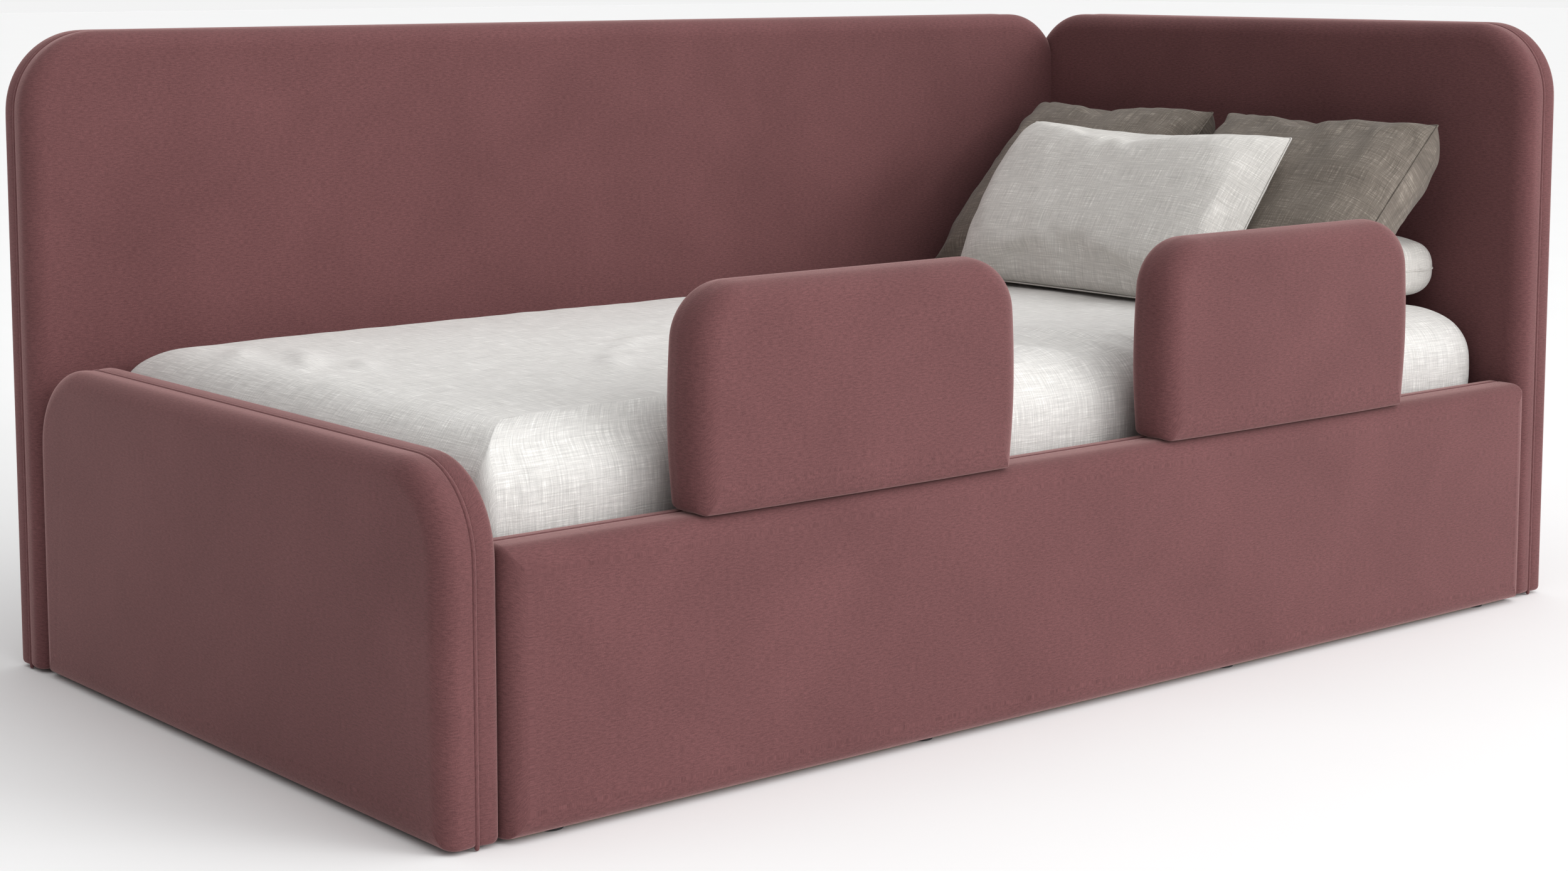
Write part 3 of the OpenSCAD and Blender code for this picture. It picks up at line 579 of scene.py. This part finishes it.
def guard_rail(side, seed):
    """One guard rail: foam under velour, crowned on both faces, with its bottom edges pressed flatter."""
    node = f"guard_rail_{side}_padding"
    low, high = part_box(node)
    half = (high.y - low.y) / 2
    mid = (low.x + high.x) / 2
    shape = (low.x, high.x, low.z, high.z, RAIL_LOW_R, RAIL_ROUND)
    front = rounded_edge(half, RAIL_EDGE)
    profile = front + [(-1.5 * MM, 0)] + [(d, -n) for d, n in reversed(front)]
    points, threads, faces = shell_of_rings(shape, profile)
    full = swell(points[:, 0], points[:, 1], shape, 0.5)
    wave = 1 + 0.25 * waves(points, 0.12, seed)
    points[:, 2] += np.sign(points[:, 2]) * full * RAIL_CROWN * wave
    rise = np.clip((points[:, 1] - low.z) / (high.z - low.z), 0, 1)
    points[:, 0] = mid + (points[:, 0] - mid) * (1 + RAIL_PUFF * np.sin(math.pi * rise ** 0.8))
    # the weight of the rail presses its bottom edges flatter than the others
    points[:, 1] = low.z + np.maximum(square_cut(points[:, 1] - low.z, RAIL_EDGE), 0)
    # its front bottom edge sits down over the round edge of the front panel
    into = np.clip(points[:, 2] - (half - FRONT_EDGE_R), 0, FRONT_EDGE_R - 0.5 * MM)
    panel_fall = FRONT_EDGE_R - np.sqrt(FRONT_EDGE_R ** 2 - into ** 2)
    near_bottom = np.clip(1 - (points[:, 1] - low.z) / RAIL_LIP_FADE, 0, 1) ** 2
    points[:, 1] -= np.minimum(RAIL_LIP, panel_fall) * near_bottom
    piece = mesh_piece(f"{node}_velour", placed(points, 1, (low.y + high.y) / 2, -1), faces, threads)
    return finish_piece(piece, f"guard_rail_{side}", node, VELOUR)


guard_rail("left", 21)
guard_rail("right", 22)


# ---------------------------------------------------------------- mattress and fitted sheet

BLOCK_CORNER_R = 16 * MM    # upright corners of the mattress and of the sheet on it
BLOCK_LOW_R = 14 * MM       # their bottom edges
MATTRESS_TOP_R = 60 * MM
SHEET_TOP_R = 62 * MM
INSIDE = 4 * MM             # how far the mattress's cover stays inside the sheet
BULGE = 9 * MM              # how far the mattress's sides swell
HEM = 34 * MM               # elastic hem, turned in under the mattress
SHEET_GRID = 8 * MM         # close enough for the creases
# slack pushed up round the front pillow: centre (in from the head end, and y), radius, first and last
# angle in degrees, width and height
PILLOW_CREASES = [((0.45, -0.20), 0.22, 150, 268, 11 * MM, 6 * MM),
                  ((0.43, -0.17), 0.30, 165, 262, 13 * MM, 5 * MM),
                  ((0.50, -0.10), 0.36, 190, 262, 12 * MM, 4.5 * MM)]
# short wrinkles where someone has sat: middle, length, angle from x in degrees, and height
SHORT_CREASES = [((-0.44, -0.13), 0.10, 60, 5.6 * MM), ((-0.41, -0.10), 0.09, 72, 4.2 * MM),
                 ((-0.30, 0.02), 0.12, 20, 3.5 * MM), ((-0.34, -0.02), 0.10, 30, 3.5 * MM),
                 ((-0.70, 0.12), 0.12, 70, 5.6 * MM), ((-0.67, 0.17), 0.13, 75, 4.9 * MM),
                 ((-0.72, 0.24), 0.10, 65, 4.2 * MM), ((-0.66, 0.05), 0.10, 70, 4.2 * MM)]
SHORT_WIDTH = 14 * MM       # width of those wrinkles
TUCK_START = 18 * MM        # distance of the corner tuck from the corner, at the bottom
TUCK_SLANT = 0.30           # how fast it leans away from the corner as it rises
TUCK_PROUD = 4.5 * MM       # how far the cloth that lies over it stands out


def laid_block(node, grow, top_r, hem):
    """Outline and profile of the mattress, or of the sheet round it when there is a hem."""
    low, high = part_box(node)
    low_r = BLOCK_LOW_R
    shape = (low.x - grow, high.x + grow, low.y - grow, high.y + grow, BLOCK_CORNER_R, BLOCK_CORNER_R)
    height = high.z - low.z
    profile = rounded_edge(height, top_r)
    profile += [(0, z) for z in np.linspace(height - top_r, low_r, 7)[1:]]
    # the round bottom edge, in four steps
    turn = np.radians([22, 45, 68, 90])
    profile += [(low_r * (1 - math.cos(a)), low_r - low_r * math.sin(a)) for a in turn]
    if hem:
        profile += [(low_r + hem * 0.5, 0), (low_r + hem, 0.6 * MM)]
    return shape, profile, low, high


def side_bulge(points, shape, height):
    """How far the sides of the mattress push out between top and bottom, as (x, y) moves."""
    out = []
    for k, (low, high) in enumerate([shape[:2], shape[2:4]]):
        place = np.clip((points[:, k] - (low + high) / 2) / ((high - low) / 2), -1, 1)
        out.append(np.sign(place) * np.abs(place) ** 12)
    rise = np.clip(points[:, 2] / height, 0, 1)
    return np.column_stack(out) * (BULGE * np.sin(math.pi * rise ** 0.8) ** 0.8)[:, None]


def end_droop(points, shape):
    """How far the top gives way towards its ends and sides."""
    x, y = points[:, 0], points[:, 1]
    end = np.minimum(x - shape[0], shape[1] - x)
    side = np.minimum(y - shape[2], shape[3] - y)
    return 5 * MM * np.exp(-np.maximum(end, 0) / 0.12) + 4 * MM * np.exp(-np.maximum(side, 0) / 0.10)


def mattress_piece():
    """The mattress in its knitted cover, a little inside the sheet."""
    shape, profile, low, high = laid_block("mattress", -INSIDE, MATTRESS_TOP_R, 0)
    points, threads, faces = shell_of_rings(shape, profile)
    droop = end_droop(points, shape)
    points[:, :2] += side_bulge(points, shape, high.z - low.z)
    # the top sinks as far as the sides draw in
    upper = points[:, 2] > 100 * MM
    points[:, 2] = points[:, 2] - droop * (points[:, 2] / (high.z - low.z)) - INSIDE * upper
    points = points + np.array([0, 0, low.z])
    piece = mesh_piece("mattress_cover", points, faces, threads)
    return finish_piece(piece, "mattress", "mattress", TICKING)


def crease(points, path, width, height):
    """A soft ridge along a line of (x, y) points, fading at its two ends."""
    path = np.asarray(path, float)
    best = np.full(len(points), 1e9)
    share = np.zeros(len(points))
    total = len(path) - 1
    for k in range(total):
        a, b = path[k], path[k + 1]
        t = np.clip(((points[:, :2] - a) @ (b - a)) / ((b - a) @ (b - a)), 0, 1)
        d = np.linalg.norm(points[:, :2] - (a + t[:, None] * (b - a)), axis=1)
        closer = d < best
        best[closer] = d[closer]
        share[closer] = (k + t[closer]) / total
    fade = np.sin(math.pi * np.clip(share, 0.02, 0.98)) ** 0.7
    return height * fade * np.exp(-(best / width) ** 2)


def arc_line(centre, radius, start, end):
    """Points of an arc between two angles in degrees."""
    turn = np.radians(np.linspace(start, end, 10))
    return [(centre[0] + radius * math.cos(a), centre[1] + radius * math.sin(a)) for a in turn]


def fitted_sheet():
    """The linen sheet, stretched over the mattress and gathered under it by its elastic hem."""
    shape, profile, low, high = laid_block("fitted_sheet", 0, SHEET_TOP_R, HEM)
    points, threads, faces = shell_of_rings(shape, profile, closed=False, grid=SHEET_GRID)
    height = high.z - low.z
    top = np.clip(points[:, 2] / height, 0, 1)
    bulge = side_bulge(points, shape, height)
    points[:, 2] -= end_droop(points, shape) * top
    x, y = points[:, 0].copy(), points[:, 1].copy()
    flat = np.column_stack([x, y, points[:, 2]])
    # long low waves and shorter ones
    lift = 1.8 * MM * waves(flat * (1, 1.6, 1), 0.16, 31)
    lift = lift + 1.1 * MM * waves(flat * (1.5, 1, 1), 0.055, 32)
    for (from_head, middle_y), radius, start, end, width, rise in PILLOW_CREASES:
        path = arc_line((shape[1] - from_head, middle_y), radius, start, end)
        lift = lift + crease(points, path, width, rise)
    for (cx, cy), length, angle, rise in SHORT_CREASES:
        dx = 0.5 * length * math.cos(math.radians(angle))
        dy = 0.5 * length * math.sin(math.radians(angle))
        lift = lift + crease(points, [(cx - dx, cy - dy), (cx + dx, cy + dy)], SHORT_WIDTH, rise)
    # the creases stay on the top, and die away over its round edge
    upper = np.clip((top - 0.6) / 0.35, 0, 1)
    points[:, 2] += lift * upper
    # the sides ripple a little above the elastic, in and out from the mattress
    run = np.where(np.abs(y) > shape[3] - 0.08, x, y)
    along = np.column_stack([run, 0.4 * points[:, 2], 0 * run])
    ripple = 1.2 * MM * waves(along, 0.05, 33) * (1 - upper)
    middle = np.array([(shape[0] + shape[1]) / 2, (shape[2] + shape[3]) / 2])
    outward = np.column_stack([np.clip((x - middle[0]) / (shape[1] - middle[0]), -1, 1) ** 15,
                               np.clip((y - middle[1]) / (shape[3] - middle[1]), -1, 1) ** 15])
    points[:, :2] += outward * ripple[:, None] + bulge
    # mitred tuck at the corners: the side's cloth lies over the end's along a slanting line
    for sx in (-1, 1):
        for sy in (-1, 1):
            corner = np.array([shape[0] if sx < 0 else shape[1], sy * shape[3]])
            across = (x - corner[0]) * -sx - (TUCK_START + TUCK_SLANT * points[:, 2])
            near = (np.abs(y - corner[1]) < 0.06) & (points[:, 2] < height - 0.03)
            over = np.clip(across / (2.5 * MM) + 0.5, 0, 1) * np.exp(-np.maximum(across, 0) / 0.10)
            points[near, 1] += sy * TUCK_PROUD * over[near]
    points[:, 2] += low.z
    points[:, 2] = np.maximum(points[:, 2], low.z + 0.2 * MM)
    piece = mesh_piece("fitted_sheet_linen", points, faces, threads)
    finish_piece(piece, "mattress", "fitted_sheet", SHEET_LINEN)
    drop = height + BLOCK_LOW_R + HEM
    width, length = shape[3] - shape[2] + 2 * drop, shape[1] - shape[0] + 2 * drop


mattress_piece()
fitted_sheet()


# ---------------------------------------------------------------- pillows

PILLOW_CELL = 8 * MM
PILLOW_FRAMES = 18
PILLOW_CAP = 14 * MM        # the furthest that the stuffing may move a point
PRESSURE = 3                # of the stuffing
SEAM_HOLD = 25 * MM         # distance from the seam over which the stuffing's push builds up
START_FLAT = 0.93           # how thick a case starts, as a share of its filled size
REST_BLEND = 6 * MM         # roundness of the meeting with what a pillow rests on
WALL_GAP = 1.5 * MM         # between the pillows and the head panel
SEAM_R = 1.3 * MM           # the sewn edge round a pillow
PULL_IN = 0.012             # how far the sides pull in between the corners, as a share of the half size


def pillow_case(width, height, front, rear, front_square, rear_square, end_round):
    """Two panels sewn along their edges and loosely filled: points, cloth places, faces, the numbers
    of the seam's points, and how far each point lies from the seam.
    A panel's two squareness numbers, across and up, say how steeply it rises from its sides. With
    end_round the two ends narrow to a round plan of that radius."""
    nu, nv = round(width / PILLOW_CELL), round(height / PILLOW_CELL)
    # the cells get narrower towards the seam
    even = [np.linspace(-1, 1, n + 1) for n in (nu, nv)]
    steps = [0.7 * np.sin(e * math.pi / 2) + 0.3 * e for e in even]
    u, v = (a.ravel() for a in np.meshgrid(*steps, indexing="ij"))
    flat = np.column_stack([u * (1 - PULL_IN * (1 - v ** 2)) * width / 2,
                            v * (1 - PULL_IN * (1 - u ** 2)) * height / 2])
    if end_round:
        past = np.clip((np.abs(u) * width / 2 - width / 2 + end_round) / end_round, 0, 1)
        flat[:, 1] *= 0.3 + 0.7 * np.sqrt(1 - past ** 2)
    rim = grid_rim(nu, nv)
    number = {p: p for p in rim}
    inner = [p for p in range(len(flat)) if p not in number]
    number.update({p: len(flat) + k for k, p in enumerate(inner)})

    def rise(across, up):
        return np.sqrt(np.clip((1 - np.abs(u) ** across) * (1 - np.abs(v) ** up), 0, 1))

    def laid_flat(panel):
        """The cloth place of each point: its distance along the panel's own threads from the middle."""
        rows = panel.reshape(nu + 1, nv + 1, 3)
        out = np.zeros_like(rows)
        for k in (0, 1):
            moves = np.diff(rows, axis=k, prepend=np.take(rows, [0], axis=k))
            run = np.cumsum(np.linalg.norm(moves, axis=2), axis=k)
            out[..., k] = run - np.take(run, [run.shape[k] // 2], axis=k)
        return out.reshape(-1, 3)

    panels = [np.column_stack([flat, front * rise(*front_square)]),
              np.column_stack([flat, -rear * rise(*rear_square)])]
    points = np.concatenate([panels[0], panels[1][inner]])
    threads = np.concatenate([laid_flat(panels[0]), laid_flat(panels[1])[inner]])
    faces = grid_faces(nu, nv)
    faces += [tuple(number[p] for p in reversed(f)) for f in grid_faces(nu, nv)]
    # distance from the seam, measured on the flat panel
    away = np.minimum((1 - np.abs(u)) * width / 2, (1 - np.abs(v)) * height / 2)
    return points, threads, faces, rim, np.concatenate([away, away[inner]])


def stuffed(points, faces, away, slack):
    """Fills the case out from inside by cloth simulation and returns its points. Slack is the spare
    cloth, as a share, which gathers into folds. The sewn seam keeps its line."""
    mesh = bpy.data.meshes.new("case")
    mesh.from_pydata([tuple(p) for p in points], [], faces)
    case = bpy.data.objects.new("case", mesh)
    scene.collection.objects.link(case)
    cloth = case.modifiers.new("cloth", "CLOTH")
    settings = cloth.settings
    settings.quality = 6
    settings.mass = 0.2
    settings.tension_stiffness = settings.compression_stiffness = 25
    settings.shear_stiffness = 8
    settings.bending_stiffness = 0.3
    settings.air_damping = 3
    settings.shrink_min = -slack
    settings.effector_weights.gravity = 0
    settings.use_pressure = True
    settings.uniform_pressure_force = PRESSURE
    cloth.collision_settings.use_collision = False
    cloth.point_cache.frame_start = 1
    cloth.point_cache.frame_end = PILLOW_FRAMES
    for f in range(1, PILLOW_FRAMES + 1):
        scene.frame_set(f)
    shaped = case.evaluated_get(bpy.context.evaluated_depsgraph_get()).data
    out = np.empty(len(shaped.vertices) * 3)
    shaped.vertices.foreach_get("co", out)
    bpy.data.objects.remove(case, do_unlink=True)
    scene.frame_set(1)
    move = (out.reshape(-1, 3) - points) * np.clip(away / SEAM_HOLD, 0, 1)[:, None]
    far = np.linalg.norm(move, axis=1)[:, None]
    return points + move * np.minimum(1, PILLOW_CAP / np.maximum(far, 1e-9))


def seam_gathers(points, away, depth, seed):
    """Small puckers that run in from the seam, where the cloth is gathered into it."""
    round_seam = np.column_stack([points[:, 0], points[:, 1], 0 * away])
    tight = away / (away + 6 * MM) * np.exp(-away / (45 * MM))
    return depth * tight * (waves(round_seam, 0.024, seed) + 0.6 * waves(round_seam, 0.05, seed + 1))


def soft_floor(value, floor, blend):
    """The larger of value and floor, with the meeting rounded over `blend`."""
    gap = value - floor
    return floor + 0.5 * (gap + np.sqrt(gap ** 2 + blend ** 2))


def pillow(node, size, squares, lean, top, material, sag, fold, gather, seed, slack=0.03,
           end_round=0):
    """size is (width, slanted height, front bulge, rear bulge); squares are the front and rear panels'
    squareness; top is the middle of the top seam. sag is how far that seam drops at its middle, fold
    the height of the washed folds, and gather that of the puckers along the seam."""
    width, height, front, rear = size
    points, threads, faces, rim, away = pillow_case(width, height, START_FLAT * front, START_FLAT * rear,
                                                    *squares, end_round)
    points = stuffed(points, faces, away, slack)
    u, v, n = points.T
    # washed folds, longer up the pillow than across it, that die away at the seam
    ripple = waves(np.column_stack([u * 1.7, v, n * 0]), 0.08, seed)
    ripple = ripple + 0.6 * waves(points * (1.5, 1, 1), 0.035, seed + 1)
    body = np.clip(np.abs(n) / max(front, rear), 0, 1) ** 0.5
    n += (fold * ripple * body + seam_gathers(points, away, gather, seed + 2)) * np.sign(n)
    v -= sag * (1 - (2 * u / width) ** 2) * (v / height + 0.5) ** 2
    v -= height / 2
    place = np.empty_like(points)
    place[:, 0] = top[0] + v * math.cos(lean) - n * math.sin(lean)
    place[:, 1] = top[1] - u
    place[:, 2] = top[2] + v * math.sin(lean) + n * math.cos(lean)
    # it rests flat on what is under it and against the head panel
    place[:, 2] = soft_floor(place[:, 2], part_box(node)[0].z, REST_BLEND)
    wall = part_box("head_panel_padding")[0].x - WALL_GAP
    place[:, 0] = -soft_floor(-place[:, 0], -wall, REST_BLEND)
    piece = mesh_piece(f"{node}_linen", place, faces, threads)
    finish_piece(piece, node, node, material)
    normal = (-math.sin(lean), 0, math.cos(lean))
    seam = tube(f"{node}_seam", place[rim], SEAM_R, normal, closed=True, sides=6)
    finish_piece(seam, node, None, material)


HEAD_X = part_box("head_panel_padding")[0].x
BACK_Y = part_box("back_panel_padding")[0].y
BED_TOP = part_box("mattress")[1].z
# sizes as pillow() takes them, and where each leaning one's top seam is: out from the head panel, and
# up from the mattress
GREY = (368 * MM, 330 * MM, 46 * MM, 66 * MM)
GREY_SQUARES = ((3.4, 2.8), (24, 6))
GREY_LEAN = math.radians(45)
GREY_OUT, GREY_UP = 60 * MM, 244 * MM
GREY_SIDE = 28 * MM         # between the rear grey pillow's place and the back panel
GREY_BETWEEN = 36 * MM      # between the two grey pillows' places
# the rear one is squeezed a little narrower, between its neighbour and the back panel
GREY_REAR = (350 * MM,) + GREY[1:]
REAR_SHIFT = 9 * MM
FRONT = (492 * MM, 276 * MM, 60 * MM, 33 * MM)
FRONT_SQUARES = ((5, 3.4), (5, 3))
FRONT_LEAN = math.radians(53.5)
FRONT_OUT, FRONT_UP = 209 * MM, 226 * MM
LOW = (655 * MM, 150 * MM, 42 * MM, 42 * MM)
LOW_SQUARES = ((20, 3), (20, 3))
LOW_OUT = 1.2 * MM
LOW_END_R = 60 * MM

grey_y = BACK_Y - GREY_SIDE - GREY[0] / 2
for node, size, y, seed in [("grey_pillow_back", GREY_REAR, grey_y - REAR_SHIFT, 41),
                            ("grey_pillow_front", GREY, grey_y - GREY[0] - GREY_BETWEEN, 44)]:
    pillow(node, size, GREY_SQUARES, GREY_LEAN, (HEAD_X - GREY_OUT, y, BED_TOP + GREY_UP),
           TAUPE_LINEN, sag=10 * MM, fold=4.5 * MM, gather=10 * MM, seed=seed, slack=0.05)
pillow("front_pillow", FRONT, FRONT_SQUARES, FRONT_LEAN, (HEAD_X - FRONT_OUT, 0, BED_TOP + FRONT_UP),
       PILLOW_LINEN, sag=9 * MM, fold=1.6 * MM, gather=4 * MM, seed=47)
low_low, low_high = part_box("low_pillow")
pillow("low_pillow", LOW, LOW_SQUARES, 0,
       (HEAD_X - LOW_OUT, (low_low.y + low_high.y) / 2, (low_low.z + low_high.z) / 2),
       PILLOW_LINEN, sag=0, fold=1.5 * MM, gather=3 * MM, seed=50, end_round=LOW_END_R)


# ---------------------------------------------------------------- timber, steel and plastic of the frame

BARE_PIECES = [
    (PLYWOOD, ["back_panel_core", "head_panel_core", "foot_panel_core", "front_panel_core",
               "guard_rail_left_core", "guard_rail_right_core"]),
    (PINE, ["front_ledge", "back_ledge", "head_ledge", "foot_ledge",
            "base_front_rail", "base_back_rail", "base_head_rail", "base_foot_rail"]),
    (BEECH, ["slats"]),
    (STEEL, ["rail_sleeves", "guard_rail_left_pins", "guard_rail_right_pins", "corner_brackets",
             "bracket_bolts", "ledge_bolts", "base_screws"]),
    (PLASTIC, ["floor_glides", "slat_holders"]),
]
for material, names in BARE_PIECES:
    for name in names:
        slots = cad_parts[name].data.materials
        slots.clear()
        slots.append(material)


# ---------------------------------------------------------------- floor, light and camera

FLOOR_REACH = 40            # metres each way
TOP_LIGHT = 1.03            # strength of the sky's part that lights from overhead
KEY_LIGHT = 2.15            # strength of the bright part of the sky, at the front right
KEY_TOWARD = (0.50, -0.80, 0.33)
KEY_POWER = 3               # a higher one narrows the bright part
SEEN_SKY = 0.9              # strength of the sky where the camera sees it
LAMP_PLACE = (3.4, -6.5, 3.0)
LAMP_AIM = (0.2, 0, 0.4)
LAMP_SIZE = (3.0, 2.0)
LAMP_WATTS = 145
CAMERA_PLACE = (-2.299, -2.700, 0.872)
CAMERA_YAW = math.radians(39.51)    # from straight to the back, towards the head
CAMERA_PITCH = math.radians(6.61)   # down
SENSOR_MM = 36
LENS_MM = 63.35
SHIFT_Y = -0.10


def pale_floor():
    """A wide matt white floor with a very faint cloudiness."""
    floor_material, tree, shader = new_material("matt_white_floor")
    place = add(tree, "ShaderNodeTexCoord").outputs["Object"]
    cloud_size = 333.33 * MM
    cloud = add(tree, "ShaderNodeTexNoise", {"Vector": place, "Scale": 1 / cloud_size, "Detail": 2})
    colour = add(tree, "ShaderNodeMix", {0: cloud.outputs[0], 6: linear("#f4f4f4"), 7: linear("#f7f7f7")},
                 data_type="RGBA").outputs[2]
    tree.links.new(colour, shader.inputs["Base Color"])
    shader.inputs["Roughness"].default_value = 0.9
    corners = [(FLOOR_REACH * sx, FLOOR_REACH * sy, 0) for sx, sy in [(-1, -1), (1, -1), (1, 1), (-1, 1)]]
    mesh = bpy.data.meshes.new("floor")
    mesh.from_pydata(corners, [], [(0, 1, 2, 3)])
    floor = bpy.data.objects.new("floor", mesh)
    scene.collection.objects.link(floor)
    mesh.materials.append(floor_material)


def soft_light(name, place, aim, size, power):
    """A white rectangular lamp that points at `aim`."""
    data = bpy.data.lights.new(name, "AREA")
    data.shape = "RECTANGLE"
    data.size, data.size_y = size
    data.energy = power
    lamp = bpy.data.objects.new(name, data)
    scene.collection.objects.link(lamp)
    lamp.location = place
    lamp.rotation_euler = (Vector(aim) - Vector(place)).to_track_quat("-Z", "Y").to_euler()


def studio_sky():
    """A white sky that lights from overhead and, more strongly, from the front right."""
    world = bpy.data.worlds.new("studio")
    scene.world = world
    world.use_nodes = True
    studio = world.node_tree
    studio.nodes.clear()
    toward = add(studio, "ShaderNodeTexCoord").outputs["Generated"]
    up = add(studio, "ShaderNodeVectorMath", {0: toward, 1: (0, 0, 1)}, operation="DOT_PRODUCT")
    key = add(studio, "ShaderNodeVectorMath", {0: toward, 1: KEY_TOWARD}, operation="DOT_PRODUCT")
    up_only = add(studio, "ShaderNodeMath", {0: up.outputs["Value"], 1: 0}, operation="MAXIMUM")
    key_only = add(studio, "ShaderNodeMath", {0: key.outputs["Value"], 1: 0}, operation="MAXIMUM")
    key_lobe = add(studio, "ShaderNodeMath", {0: key_only.outputs[0], 1: KEY_POWER}, operation="POWER")
    from_top = add(studio, "ShaderNodeMath", {0: up_only.outputs[0], 1: TOP_LIGHT}, operation="MULTIPLY")
    light = add(studio, "ShaderNodeMath", {0: key_lobe.outputs[0], 1: KEY_LIGHT, 2: from_top.outputs[0]},
                operation="MULTIPLY_ADD")
    seen = add(studio, "ShaderNodeLightPath").outputs["Is Camera Ray"]
    strength = add(studio, "ShaderNodeMix", {0: seen, 2: light.outputs[0], 3: SEEN_SKY}).outputs[0]
    sky = add(studio, "ShaderNodeBackground", {"Color": (1, 1, 1, 1), "Strength": strength})
    add(studio, "ShaderNodeOutputWorld", {"Surface": sky.outputs[0]})


def place_camera():
    """The main camera, from the front left and a little above the bed."""
    data = bpy.data.cameras.new("camera")
    camera = bpy.data.objects.new("camera", data)
    scene.collection.objects.link(camera)
    scene.camera = camera
    ahead = Vector((math.sin(CAMERA_YAW) * math.cos(CAMERA_PITCH),
                    math.cos(CAMERA_YAW) * math.cos(CAMERA_PITCH), -math.sin(CAMERA_PITCH)))
    camera.location = CAMERA_PLACE
    camera.rotation_euler = ahead.to_track_quat("-Z", "Y").to_euler()
    data.sensor_width = SENSOR_MM
    data.lens = LENS_MM
    data.shift_y = SHIFT_Y


pale_floor()
studio_sky()
soft_light("front_right", LAMP_PLACE, LAMP_AIM, LAMP_SIZE, LAMP_WATTS)
place_camera()
scene.view_settings.view_transform = "Standard"
